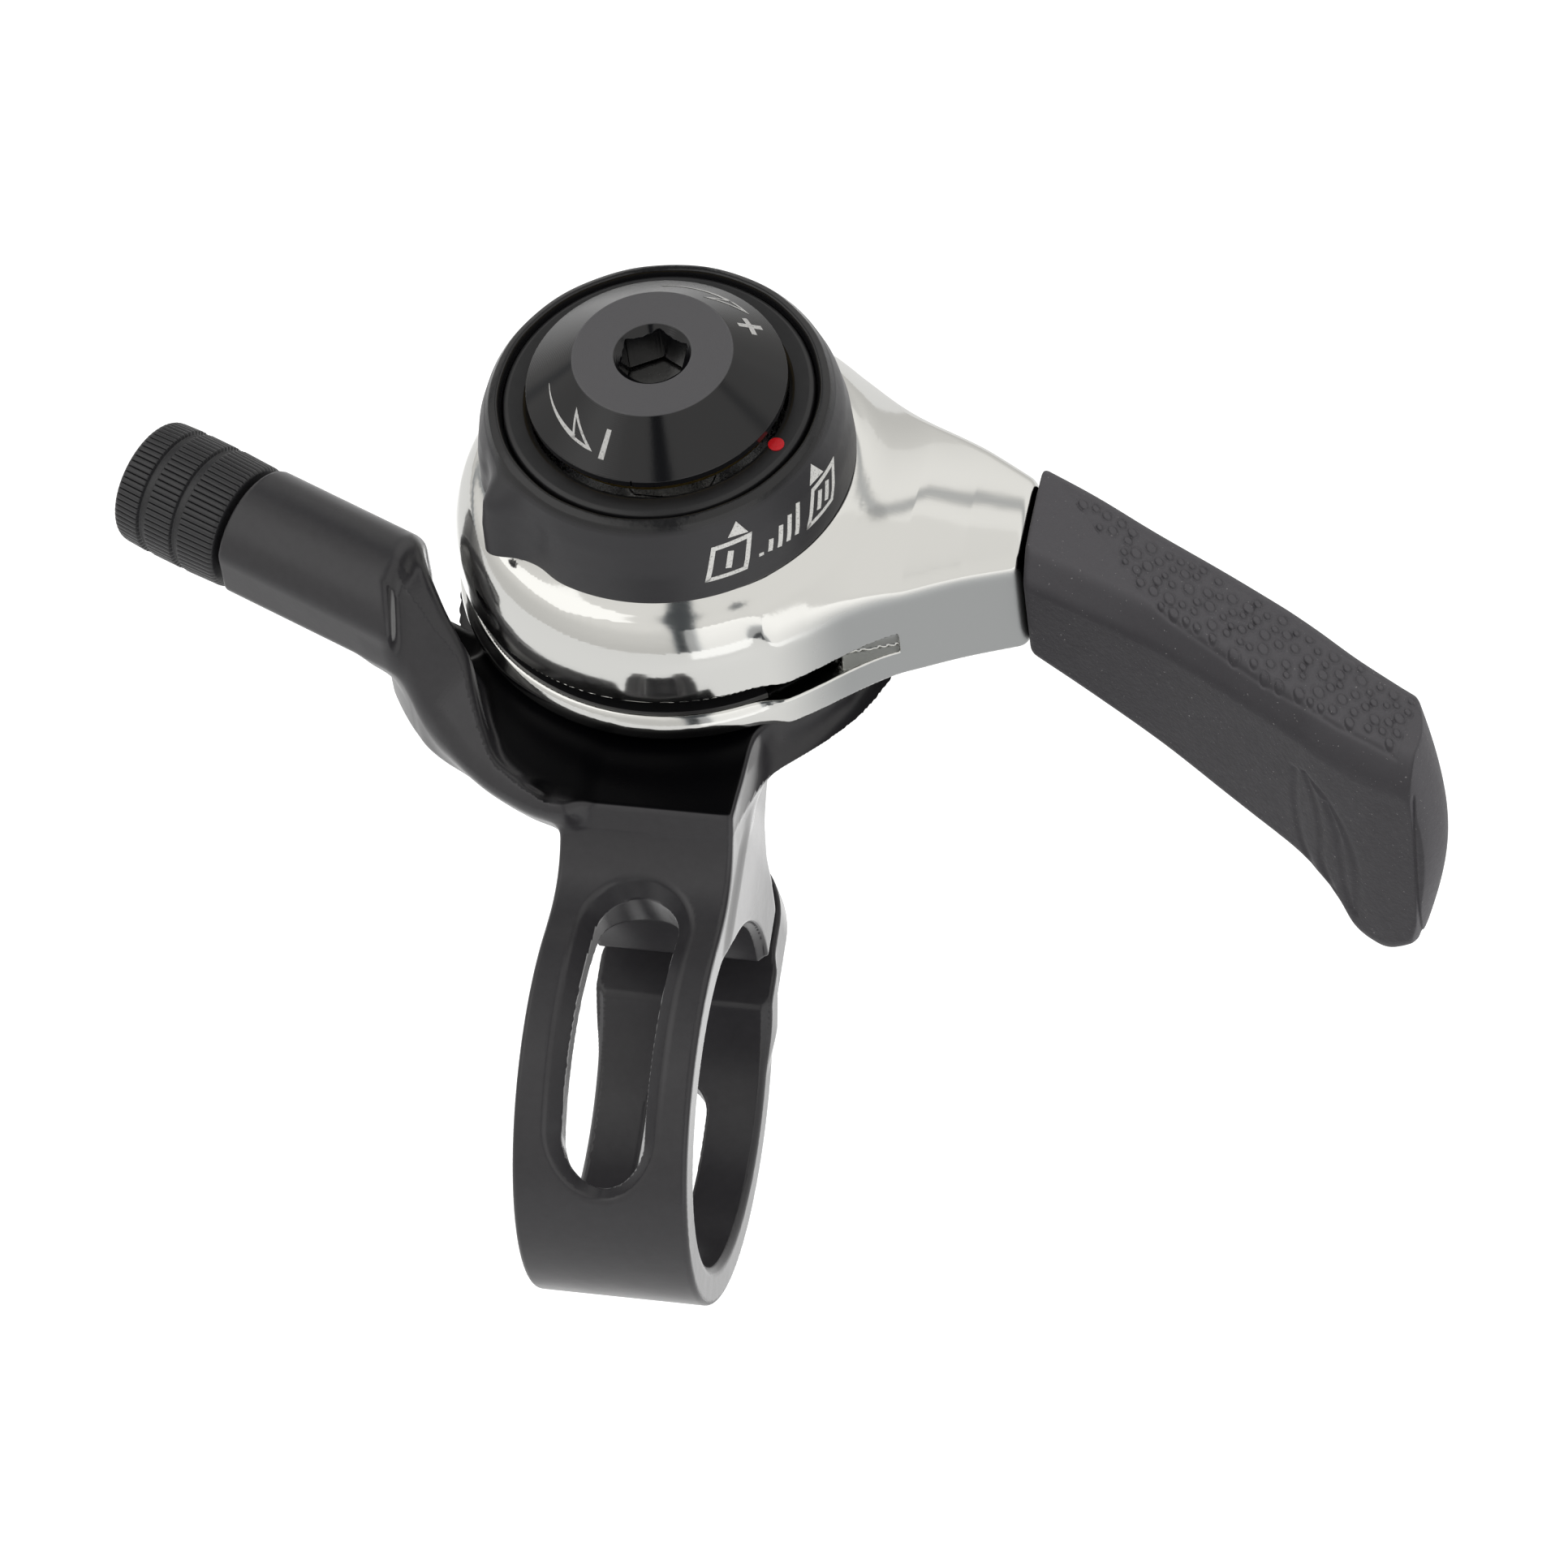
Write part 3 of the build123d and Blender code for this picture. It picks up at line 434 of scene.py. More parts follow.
# crown of the arm: place along X, height on its middle line, fall to its edge, half width
CROWN = [(7.0, 29.6, 3.6, 11.5), (9.5, 29.2, 3.2, 9.8), (12.0, 28.3, 2.4, 8.7), (15.0, 27.5, 1.6, 7.3),
         (18.6, 26.9, 0.8, 5.7), (ARM_END, 26.5, 0.4, 3.7), (26.0, 26.3, 0.4, 3.4)]
CROWN_Y = 29.2
ARM_FROM_R, HUB_BLEND = 6, 3.0  # the arm starts this far from the pivot; blend into the hub
# the hub's outline above and below its groove: radius and height
DOME = [(14.62, 22.1), (14.55, 23.4), (14.38, 25.0), (13.95, 26.4), (13.4, 27.4), (12.9, 28.0),
        (12.2, 28.45), (11.4, LEVER_HIGH)]
LIP = [(14.2, LEVER_LOW), (14.6, 18.5), (14.75, 19.1), (14.7, 19.6), (14.5, 20.1), (14.25, 20.6),
       (14.3, 21.4)]
HUB = [(0, LEVER_LOW)] + smooth_line(LIP) + smooth_line(DOME) + [(0, LEVER_HIGH)]
GROOVE = (20.4, 22.2)
GROOVE_ENDS = (80, 327)  # round the pivot, degrees
TRACK_R = 12.7
BUSH_BORE, POCKET_R, POCKET_LOW = 4.2, 10.4, 21.0
HEAD_SLOT = [(8.0, 16.0), (14.6, 19.5), (14.6, 22.6), (8.4, 20.4)]


def lever_field(x, y, z):
    r, turn = round_pod(x, y)
    hub = polygon(r, z, HUB)
    front = smooth_line(ARM_FRONT) + [(ARM_END + 3, 26.6), (ARM_END + 3, 31.4)]
    plan = polygon(x, y, front + smooth_line(ARM_BACK) + [tuple(POD)])
    place, height, fall, half = zip(*CROWN)
    off = (y - CROWN_Y) / np.interp(x, place, half)
    crown = np.interp(x, place, height) - np.interp(x, place, fall) * off * off
    arm = both(plan, (z - crown) * 0.93, 1.1)
    arm = both(arm, LEVER_LOW - z, 0.5)
    arm = both(arm, x - ARM_END, 0.9)
    shape = union(hub, np.maximum(arm, ARM_FROM_R - r), HUB_BLEND)
    shape = both(shape, z - LEVER_HIGH, 0.3)
    shape = both(shape, LEVER_LOW - z, 0.2)
    # groove for the cable, and the square-ended slot for its head
    turn = np.degrees(turn) % 360
    sweep = np.where((turn > GROOVE_ENDS[0]) & (turn < GROOVE_ENDS[1]), -1.0, 1.0)
    band = np.abs(z - sum(GROOVE) / 2) - (GROOVE[1] - GROOVE[0]) / 2
    groove = np.maximum(np.maximum(band, TRACK_R - r), sweep)
    groove = union(groove, np.maximum(band, polygon(x, y, HEAD_SLOT)))
    shape = cut(shape, groove, 0.15)
    # bore and the pocket for the index parts
    shape = cut(shape, r - BUSH_BORE, 0.1)
    return cut(shape, np.maximum(r - POCKET_R, POCKET_LOW - z), 0.1)


# ---- Grip ----------------------------------------------------------------------------
GRIP_SLOPE = -0.52  # sweep back, Y per X
GRIP_Y = 28.4
GRIP_TOP = GRIP_HIGH[2]
# the grip along X: height of its underside, then its front and back faces, across from its middle line
GRIP_BOTTOM = [(22.6, 17.9), (27.0, 16.3), (31.5, 14.6), (35.0, 13.5), (37.8, 12.8), (40.6, 12.2),
               (42.7, 11.2), (44.0, 9.6), (45.0, 7.6), (46.2, 6.8), (47.5, 6.8), (49.2, 8.4), (51.2, 11.0)]
GRIP_FRONT = [(22.6, -4.4), (27.0, -3.9), (31.7, -3.5), (36.0, -3.7), (41.0, -4.2), (43.0, -4.6),
              (46.0, -4.6), (49.0, -4.2), (51.2, -3.8)]
GRIP_BACK = [(22.6, 4.5), (26.4, 4.5), (30.7, 4.2), (36.0, 4.0), (41.4, 3.6), (45.0, 3.1), (49.5, 2.8),
             (51.2, 2.4)]
GRIP_TIP = (51.3, 1.5, 1.3)  # furthest X, and its fall to the top and to the sides
PEBBLE_FROM = [(24.2, 3.4), (26.6, 1.8), (28.2, 0.6), (29.8, -1.0), (32.4, -2.0), (39.0, -2.8), (44.5, -3.2),
               (48.4, -3.0), (49.2, 1.6), (36.0, 2.9)]
TOP_FRONT_R, GRIP_CROWN = 3.2, 0.35  # broad corner from top to front; fall of the top to its edges
FINE = 0.05  # spacing of the relief map
BUMP, MOAT = 0.075, 0.05  # height of a raised dot, depth of the line round it
SEAM_X, SEAM_DEPTH = 49.2, 0.12  # parting line round the tip


def pebbles():
    """Places and sizes of the raised dots on the grip's top, none touching another."""
    rng = random.Random(SEED)
    dots = []
    for _ in range(9000):
        u, v, size = rng.uniform(24, 50), rng.uniform(-4.2, 4.4), rng.uniform(0.21, 0.4)
        if polygon(np.array([u]), np.array([v]), PEBBLE_FROM)[0] > -size:
            continue
        if all(math.hypot(u - a, v - b) > size + s + 0.2 for a, b, s in dots):
            dots.append((u, v, size))
    return dots


def relief_map(strokes, size_u, size_v):
    """Heights on a fine grid over two directions, from a function of each point."""
    u = np.arange(size_u[0], size_u[1], FINE)
    v = np.arange(size_v[0], size_v[1], FINE)
    return strokes(*np.meshgrid(u, v, indexing="ij"))


def read_map(values, start, u, v):
    """Heights from a relief map at points, in between its own."""
    fu, fv = [np.clip((p - s) / FINE, 0, n - 1.001) for p, s, n in zip((u, v), start, values.shape)]
    iu, iv = fu.astype(int), fv.astype(int)
    du, dv = fu - iu, fv - iv
    low = values[iu, iv] * (1 - dv) + values[iu, iv + 1] * dv
    high = values[iu + 1, iv] * (1 - dv) + values[iu + 1, iv + 1] * dv
    return low * (1 - du) + high * du


def pebble_heights(u, v):
    out = np.zeros(u.shape)
    for a, b, size in pebbles():
        d = np.hypot(u - a, (v - b) * 0.93)
        near = d < size + 0.5
        out[near] += BUMP * (1 - smoothstep(size * 0.7, size + 0.04, d[near]))
        out[near] -= MOAT * np.exp(-((d[near] - size - 0.08) / 0.08) ** 2)
    edge = polygon(u, v, PEBBLE_FROM)
    return out - MOAT * np.exp(-(edge / 0.14) ** 2)


SWOOSH_DEPTH, SWOOSH_WIDTH = 0.13, 0.24
SWOOSH = [
    [(41.5, 21.8), (41.3, 18.2), (41.6, 14.6), (42.3, 12.6)],
    [(42.3, 22.0), (42.9, 19.4), (43.1, 16.6), (43.0, 13.9), (43.7, 11.5)],
    [(43.6, 20.4), (44.2, 18.0), (44.4, 15.4), (44.6, 12.6), (45.0, 10.6)],
    [(42.2, 22.2), (43.8, 20.6), (45.0, 17.6), (45.5, 14.2), (45.2, 10.2)],
]


def swoosh_heights(u, w):
    out = np.zeros(u.shape)
    for line in SWOOSH:
        points = smooth_line(line, 5)
        near = np.full(u.shape, 1e9)
        for (ax, ay), (bx, by) in zip(points, points[1:]):
            ex, ey = bx - ax, by - ay
            t = np.clip(((u - ax) * ex + (w - ay) * ey) / (ex * ex + ey * ey), 0, 1)
            near = np.minimum(near, np.hypot(u - ax - ex * t, w - ay - ey * t))
        out = np.minimum(out, -SWOOSH_DEPTH * np.exp(-(near / SWOOSH_WIDTH) ** 2))
    return out


TOP_AT, FRONT_AT = (22, -6), (38, 6)  # where each map starts
TOP_MAP = relief_map(pebble_heights, (TOP_AT[0], 52), (TOP_AT[1], 6))
FRONT_MAP = relief_map(swoosh_heights, (FRONT_AT[0], 48), (FRONT_AT[1], 26))


def grip_field(x, y, z):
    low, front, back = [looked_up(x, table) for table in (GRIP_BOTTOM, GRIP_FRONT, GRIP_BACK)]
    across = y - GRIP_Y - GRIP_SLOPE * (x - ARM_END)
    off, half = across - (front + back) / 2, (back - front) / 2
    up, tall = z - (GRIP_TOP + low) / 2, (GRIP_TOP - low) / 2
    tight = np.clip(1.0 + (x - 40) * 0.1, 1.0, 1.8)
    upper_front = smoothstep(0.1, 0.9, -off / half) * smoothstep(0.1, 0.9, up / tall)
    corner = tight + (TOP_FRONT_R - tight) * upper_front
    crown = GRIP_CROWN * (off / half) ** 2
    body = rounded_corner(np.abs(off) - half, np.abs(up) - tall + crown, corner) * 0.85
    furthest, top_fall, side_fall = GRIP_TIP
    tip = furthest - top_fall * (up / tall) ** 2 - side_fall * (off / half) ** 2
    body = both(body, (x - tip) * 0.9, 0.25)
    body = both(body, ARM_END - x, 0.5)
    top = smoothstep(GRIP_TOP - 3.4, GRIP_TOP - 2.6, z + 0.3 * np.abs(off) - 0.9)
    facing = smoothstep(0.4, 0.8, -off / half)
    body = body - top * read_map(TOP_MAP, TOP_AT, x, across)
    body = body - facing * (1 - top) * read_map(FRONT_MAP, FRONT_AT, x, z)
    # parting line round the tip
    seam = np.abs(x - SEAM_X + 0.1 * across)
    return body + SEAM_DEPTH * np.exp(-(seam / 0.1) ** 2) * smoothstep(10, 12, 38 - z) * (1 - top)


# ---- Dial, cap and knob --------------------------------------------------------------
DIAL_R = 12.15
TAB_TURN, TAB_WIDTH = math.radians(222), 0.105  # middle and spread of the finger tab, round the dial
TAB_HEIGHT, TAB_HOLLOW, LUMPS = 1.45, 0.25, 0.03 # its height, the dip beside it, unevenness of the rim
DIAL = [
    (9.2, DIAL_LOW, 0), (DIAL_R, DIAL_LOW, 0.15), (DIAL_R - 0.1, 31.8, 0), (DIAL_R - 0.4, 33.6, 0),
    (11.3, 34.95, 0.5), (10.95, 35.5, 0.35), (10.4, DIAL_HIGH, 0.25), (10.15, 35.2, 0.12),
    (10.13, 33.7, 0), (9.2, 33.7, 0),
]
INDEX_RING = [
    (8.35, 33.72, 0), (10.02, 33.72, 0.1), (10.02, RING_HIGH - 0.15, 0.3), (9.7, RING_HIGH + 0.03, 0.3),
    (8.7, RING_HIGH + 0.03, 0.2), (8.35, RING_HIGH - 0.2, 0.1),
]


def dense(profile, gap=0.35):
    """Profile with points added so that none are further apart than a gap."""
    out = []
    for (r, h), (nr, nh) in zip(profile, profile[1:] + profile[:1]):
        count = max(1, int(math.hypot(nr - r, nh - h) / gap))
        out += [(r + (nr - r) * k / count, h + (nh - h) * k / count) for k in range(count)]
    return out


def dial_shape(r, h, a):
    """Smooth finger tab on the dial's side, and the slight unevenness of its moulding."""
    off = (a - TAB_TURN + math.pi) % (2 * math.pi) - math.pi
    outer = smoothstep(10.6, 11.6, r)
    ridge = TAB_HEIGHT * np.exp(-(off / TAB_WIDTH) ** 2) * (1 - smoothstep(33.6, 35.9, h))
    hollow = -TAB_HOLLOW * np.exp(-((np.abs(off) - 0.27) / 0.1) ** 2) * (1 - smoothstep(33.0, 35.0, h))
    lumps = LUMPS * np.sin(9 * a + 1.3) * np.sin(5 * a) * smoothstep(34.5, 35.5, h)
    return r + outer * (ridge + hollow) + lumps, h


CAP_R, CAP_FLAT_R = 8.4, 5.1
CAP_EDGE = CAP_LOW + 0.5
HEX = 2.0  # half the key's width across flats
STUD_TOP = CAP_HIGH - 3.3
CAP_BORE, SOCKET_MOUTH = 2.5, 2.55  # radii of the stud's bore and of the socket's eased mouth
CAP_MID_R = 6.7  # the printed marks' angles are measured at this radius


def cap_field(x, y, z):
    r, turn = round_pod(x, y)
    cone = [(0, CAP_LOW), (CAP_R, CAP_LOW), (CAP_R, CAP_EDGE), (CAP_FLAT_R, CAP_HIGH), (0, CAP_HIGH)]
    shape = polygon(r, z, cone)
    shape = both(shape, z - CAP_HIGH, 0.08)
    sector = (turn + math.pi / 6) % (math.pi / 3) - math.pi / 6
    socket = r * np.cos(sector) - HEX
    mouth = (r - SOCKET_MOUTH + (CAP_HIGH - z)) * 0.71
    socket = np.maximum(np.minimum(socket, mouth), STUD_TOP - z)
    shape = cut(shape, socket, 0.06)
    return cut(shape, np.maximum(r - CAP_BORE, z - CAP_LOW - 0.1), 0.05)


KNOB_R, KNOB_FLOOR = 4.35, 4.05  # radius, and radius in the ring grooves
KNOB = (24.9, 33.0)  # its ends, along the cable
SHANK_R, SHANK_IN = 2.50, 15.0
SEAT_R, SEAT_DEPTH = 3.1, 6.0  # counterbore for the ferrule
KNOB_RIBS, RIB_DEPTH = 66, 0.15
KNOB_GROOVES = (28.0, 30.7)
KNOB_PROFILE = [(CABLE_HOLE, SHANK_IN, 0), (SHANK_R, SHANK_IN, 0.2), (SHANK_R, KNOB[0], 0),
                (KNOB_R - 0.1, KNOB[0], 0.35)]
for place in KNOB_GROOVES:
    KNOB_PROFILE += [(KNOB_R, place - 0.34, 0.1), (KNOB_FLOOR, place - 0.24, 0.08),
                     (KNOB_FLOOR, place + 0.24, 0.08), (KNOB_R, place + 0.34, 0.1)]
KNOB_PROFILE += [(KNOB_R - 0.1, KNOB[1], 0.5), (SEAT_R, KNOB[1], 0.1), (SEAT_R, KNOB[1] - SEAT_DEPTH, 0),
                 (CABLE_HOLE, KNOB[1] - SEAT_DEPTH, 0)]


def knob_shape(r, h, a):
    """Ribs along the knob, fading out at its ends and in its ring grooves."""
    near_top = smoothstep(KNOB_R - 0.34, KNOB_R - 0.06, r)
    rib = np.abs(np.sin(a * KNOB_RIBS / 2)) ** 0.3
    return r - near_top * RIB_DEPTH * (1 - rib), h


# ---- Printed marks: thin strokes laid on a turned surface ----------------------------
MARK = 0.17  # half width of a plain stroke


def stroke(name, lines, surface, thick=0.03):
    """Thin raised strokes. Each line is points of (u, v, half width), put in place by surface."""
    verts, faces = [], []
    for line in lines:
        closed = line[0] == line[-1]
        pts = [line[0]]
        for a, b in zip(line, line[1:]):
            count = max(1, int(math.hypot(b[0] - a[0], b[1] - a[1]) / 0.25))
            pts += [tuple(p + (q - p) * k / count for p, q in zip(a, b)) for k in range(1, count + 1)]
        start = len(verts)
        for i, (u, v, width) in enumerate(pts):
            before = pts[i - 1] if i else (pts[-2] if closed else None)
            after = pts[i + 1] if i < len(pts) - 1 else (pts[1] if closed else None)
            ways = []
            for p, q in ((before, pts[i]), (pts[i], after)):
                if p and q:
                    ways.append(Vector((q[0] - p[0], q[1] - p[1])).normalized())
            way = sum(ways, Vector((0, 0))).normalized()
            spread = 1 / max(0.35, way.dot(ways[0]))
            side = Vector((-way.y, way.x)) * width * spread
            for sign in (1, -1):
                for height in (thick, -thick):
                    verts.append(surface(u + side.x * sign, v + side.y * sign, height))
        for i in range(len(pts) - 1):
            a, b = start + 4 * i, start + 4 * i + 4
            faces += [(a, b, b + 2, a + 2), (a + 3, b + 3, b + 1, a + 1), (a + 1, b + 1, b, a),
                      (a + 2, b + 2, b + 3, a + 3)]
        end = start + 4 * (len(pts) - 1)
        faces += [(start, start + 2, start + 3, start + 1), (end, end + 1, end + 3, end + 2)]
    obj = new_mesh(name, verts, faces)
    return sharp_where_bent(obj)


def on_cap(u, v, height):
    """Point on the cap's cone: u is millimetres round it at its middle, v the radius."""
    turn = u / CAP_MID_R
    slope = (CAP_HIGH - CAP_EDGE) / (CAP_R - CAP_FLAT_R)
    z = CAP_EDGE + (CAP_R - v) * slope + height
    return POD[0] + v * math.cos(turn), POD[1] + v * math.sin(turn), z


def dial_radius(z):
    side = [(r, h) for r, h in rounded(DIAL) if r > 10.5 and h > DIAL_LOW]
    side.sort(key=lambda p: p[1])
    return float(np.interp(z, [p[1] for p in side], [p[0] for p in side]))


def on_dial(u, v, height):
    """Point on the dial's side: u is millimetres round it, v the height."""
    turn, radius = u / DIAL_R, dial_radius(v) + height
    return POD[0] + radius * math.cos(turn), POD[1] + radius * math.sin(turn), v


def cap_arrow(turn, way):
    """Curved arrow on the cap, from a start angle, drawn one way round, with an open head."""
    start = math.radians(turn) * CAP_MID_R
    parts = [k / 4 for k in range(5)]
    tail = [(start + way * 4.4 * t, 6.75 + 0.45 * t, 0.02 + 0.1 * t) for t in parts]
    neck, barb, tip = [(start + way * along, v, 0.07) for along, v in ((4.4, 7.25), (3.5, 6.1), (5.7, 7.35))]
    return [tail, [neck, barb, tip, neck]]


def cap_marks():
    plus, minus = [math.radians(turn) * CAP_MID_R for turn in (36, -106)]
    lines = [[(plus - 0.78, 6.75, MARK), (plus + 0.78, 6.75, MARK)],
             [(plus, 5.98, MARK), (plus, 7.52, MARK)],
             [(minus, 6.1, MARK), (minus, 7.6, MARK)]]
    return lines + cap_arrow(-162, 1) + cap_arrow(97, -1)


def turn_to_mm(turn):
    return math.radians(turn) * DIAL_R


def framed_sign(corners, arrow, bars):
    """Leaning frame from its corners, upright bars in it and a filled arrowhead above; turns in degrees."""
    (al, ah), (bl, bh), (cl, ch), (dl, dh) = [(turn_to_mm(t), h) for t, h in corners]
    lines = [[(*corner, 0.16) for corner in ((al, ah), (bl, bh), (cl, ch), (dl, dh), (al, ah))]]
    place, low, high, half = arrow
    lines.append([(turn_to_mm(place), low, half), (turn_to_mm(place) + 0.1, high, 0.01)])
    for k in range(bars):
        part = (k + 1) / (bars + 1)
        foot = (al + (bl - al) * part, ah + (bh - ah) * part)
        head = (dl + (cl - dl) * part, dh + (ch - dh) * part)
        ends = [tuple(f + (h - f) * t for f, h in zip(foot, head)) for t in (0.24, 0.76)]
        lines.append([(*end, 0.2) for end in ends])
    return lines


SIGN_ONE = [(-66.2, 30.98), (-54.1, 31.0), (-50.7, 33.5), (-62.8, 33.45)]
SIGN_TWO = [(-30.0, 31.0), (-17.6, 31.0), (-11.8, 33.3), (-24.6, 33.3)]
ARROW_ONE = (-54.2, 33.85, 34.8, 0.72)  # turn, foot, tip and half width
ARROW_TWO = (-21.4, 33.7, 34.85, 0.78)
BARS = [((-48.4, 31.4), (-48.3, 31.65)), ((-45.3, 31.4), (-44.1, 32.3)), ((-41.9, 31.25), (-39.7, 32.85)),
        ((-38.5, 31.25), (-35.8, 33.15)), ((-35.1, 31.25), (-31.7, 33.5))]


def dial_marks():
    lines = framed_sign(SIGN_ONE, ARROW_ONE, 1) + framed_sign(SIGN_TWO, ARROW_TWO, 2)
    return lines + [[(turn_to_mm(turn), high, MARK) for turn, high in bar] for bar in BARS]


# ---- Materials -----------------------------------------------------------------------
class Shader:
    """Principled material with small helpers for the nodes behind it."""

    def __init__(self, name, color, rough, metal=0.0, **sockets):
        self.mat = bpy.data.materials.new(name)
        self.mat.use_nodes = True
        self.nodes, self.links = self.mat.node_tree.nodes, self.mat.node_tree.links
        self.bsdf = self.nodes["Principled BSDF"]
        self.bsdf.inputs["Base Color"].default_value = (*color, 1)
        self.bsdf.inputs["Roughness"].default_value = rough
        self.bsdf.inputs["Metallic"].default_value = metal
        for socket, value in sockets.items():
            self.bsdf.inputs[socket.replace("_", " ")].default_value = value
        self.coords = self.nodes.new("ShaderNodeTexCoord")
        self.bump_out = None

    def math(self, operation, a, b=0.0):
        node = self.nodes.new("ShaderNodeMath")
        node.operation = operation
        for socket, value in zip(node.inputs, (a, b)):
            if isinstance(value, (int, float)):
                socket.default_value = value
            else:
                self.links.new(value, socket)
        return node.outputs[0]

    def hypot(self, a, b):
        squares = [self.math("MULTIPLY", side, side) for side in (a, b)]
        return self.math("SQRT", self.math("ADD", *squares))

    def place(self, origin=(0, 0, 0), scale=(1, 1, 1)):
        """Object coordinates in millimetres, moved to an origin and stretched."""
        node = self.nodes.new("ShaderNodeMapping")
        node.vector_type = "TEXTURE"
        node.inputs["Location"].default_value = [o * MM for o in origin]
        node.inputs["Scale"].default_value = [MM / s for s in scale]
        self.links.new(self.coords.outputs["Object"], node.inputs["Vector"])
        return node.outputs[0]

    def split(self, vector):
        node = self.nodes.new("ShaderNodeSeparateXYZ")
        self.links.new(vector, node.inputs[0])
        return node.outputs

    def noise(self, size, detail=3.0, stretch=(1, 1, 1), roughness=0.55):
        """Noise whose features are about size millimetres."""
        node = self.nodes.new("ShaderNodeTexNoise")
        node.inputs["Scale"].default_value = 1 / size
        node.inputs["Detail"].default_value = detail
        node.inputs["Roughness"].default_value = roughness
        self.links.new(self.place(scale=stretch), node.inputs["Vector"])
        return node.outputs["Fac"]

    def range(self, value, low, high, ends="To", kind="LINEAR"):
        """Value from 0 to 1, spread between low and high."""
        node = self.nodes.new("ShaderNodeMapRange")
        node.interpolation_type = kind
        node.inputs[ends + " Min"].default_value = low
        node.inputs[ends + " Max"].default_value = high
        self.links.new(value, node.inputs["Value"])
        return node.outputs[0]

    def step(self, value, low, high):
        """0 below low, 1 above high, smooth between."""
        return self.range(value, low, high, "From", "SMOOTHSTEP")

    def mix(self, fac, a, b):
        """Mix of two colours."""
        node = self.nodes.new("ShaderNodeMix")
        node.data_type = "RGBA"
        self.links.new(fac, node.inputs["Factor"])
        for socket, value in ((node.inputs[6], a), (node.inputs[7], b)):
            if isinstance(value, tuple):
                socket.default_value = (*value, 1)
            else:
                self.links.new(value, socket)
        return node.outputs[2]

    def bump(self, height, depth):
        """Relief of a depth in millimetres, on top of any before it."""
        node = self.nodes.new("ShaderNodeBump")
        node.inputs["Strength"].default_value = 1.0
        node.inputs["Distance"].default_value = depth * MM
        self.links.new(height, node.inputs["Height"])
        if self.bump_out:
            self.links.new(self.bump_out, node.inputs["Normal"])
        self.bump_out = node.outputs[0]
        self.links.new(self.bump_out, self.bsdf.inputs["Normal"])

    def set(self, socket, value):
        self.links.new(value, self.bsdf.inputs[socket])


def anodised_black():
    s = Shader("anodised_black", (0.030, 0.029, 0.032), 0.27)
    z = s.split(s.place())[2]
    nx, _, nz = s.split(s.coords.outputs["Normal"])
    # deck_shade: the up-facing platform under the lever is painted near black and its specular level
    # lowered: painted shade
    deck_shade = s.math("MULTIPLY", s.step(nz, 0.9, 0.98), s.step(z, PLATFORM - 0.5, PLATFORM - 0.1))
    deck_shade = s.math("MULTIPLY", deck_shade, s.step(z, PLATFORM + 0.6, PLATFORM + 0.2))
    # flank: faces turned to +X; they are made glossier, and above the band's middle also painted pale grey
    # below
    flank = s.step(nx, 0.85, 0.98)
    rough = s.math("SUBTRACT", s.range(s.noise(4.0, 4), 0.24, 0.36), s.math("MULTIPLY", flank, 0.16))
    s.set("Roughness", rough)
    s.set("Specular IOR Level", s.range(deck_shade, 0.5, 0.06))
    tone_and_painted_light = s.mix(s.noise(0.6, 4), (0.026, 0.025, 0.028), (0.037, 0.036, 0.040))
    # pale grey on the +X side faces is a painted reflection, not the metal's own colour
    tone_and_painted_light = s.mix(s.math("MULTIPLY", flank, s.step(z, 3.0, 12.0)), tone_and_painted_light, (0.34, 0.34, 0.345))
    s.set("Base Color", s.mix(deck_shade, tone_and_painted_light, (0.001, 0.001, 0.0015)))
    s.bump(s.noise(0.3, 5), 0.004)
    s.bump(s.noise(3.5, 2), 0.03)
    return s.mat


def cap_black():
    s = Shader("cap_black", (0.006, 0.006, 0.007), 0.12)
    x, y, z = s.split(s.place((*POD, 0)))
    flat = s.step(z, CAP_HIGH - 0.09, CAP_HIGH - 0.03)
    s.set("Base Color", s.mix(flat, (0.005, 0.005, 0.006), (0.095, 0.094, 0.1)))
    s.set("Roughness", s.range(flat, 0.13, 0.42))
    radius = s.hypot(x, y)
    rings = s.math("SINE", s.math("MULTIPLY", radius, 60.0))
    s.bump(rings, 0.0012)
    s.bump(s.noise(0.25, 4), 0.002)
    return s.mat


def polished_aluminium():
    s = Shader("polished_aluminium", (0.80, 0.80, 0.78), 0.1, 1.0)
    x, _, z = s.split(s.place())
    nx, ny, _ = s.split(s.coords.outputs["Normal"])
    # faces of the arm turned toward -Y and a little +X are rougher, and painted darker grey: a painted dark
    # reflection
    facing = s.math("SUBTRACT", s.math("MULTIPLY", nx, 0.46), s.math("MULTIPLY", ny, 0.88))
    satin_and_shade = s.math("MULTIPLY", s.step(facing, 0.72, 0.95), s.step(x, 7.0, 12.0))
    px, py, _ = s.split(s.place((*POD, 0)))
    radius = s.hypot(px, py)
    middle_z = s.math("ABSOLUTE", s.math("SUBTRACT", z, (GROOVE[0] + GROOVE[1]) / 2))
    # the floor of the cable groove is painted near black: painted shade in the groove
    inside = s.math("MULTIPLY", s.step(middle_z, 1.02, 0.88), s.step(radius, 14.2, 13.6))
    bare_and_shade = s.mix(satin_and_shade, (0.78, 0.78, 0.755), (0.40, 0.41, 0.41))
    s.set("Base Color", s.mix(inside, bare_and_shade, (0.03, 0.03, 0.032)))
    hairline = s.noise(0.5, 5, (0.25, 4.0, 1.0))
    s.set("Roughness", s.math("ADD", s.range(hairline, 0.07, 0.13), s.math("MULTIPLY", satin_and_shade, 0.26)))
    s.bump(hairline, 0.0008)
    s.bump(s.noise(3.0, 2), 0.012)
    return s.mat


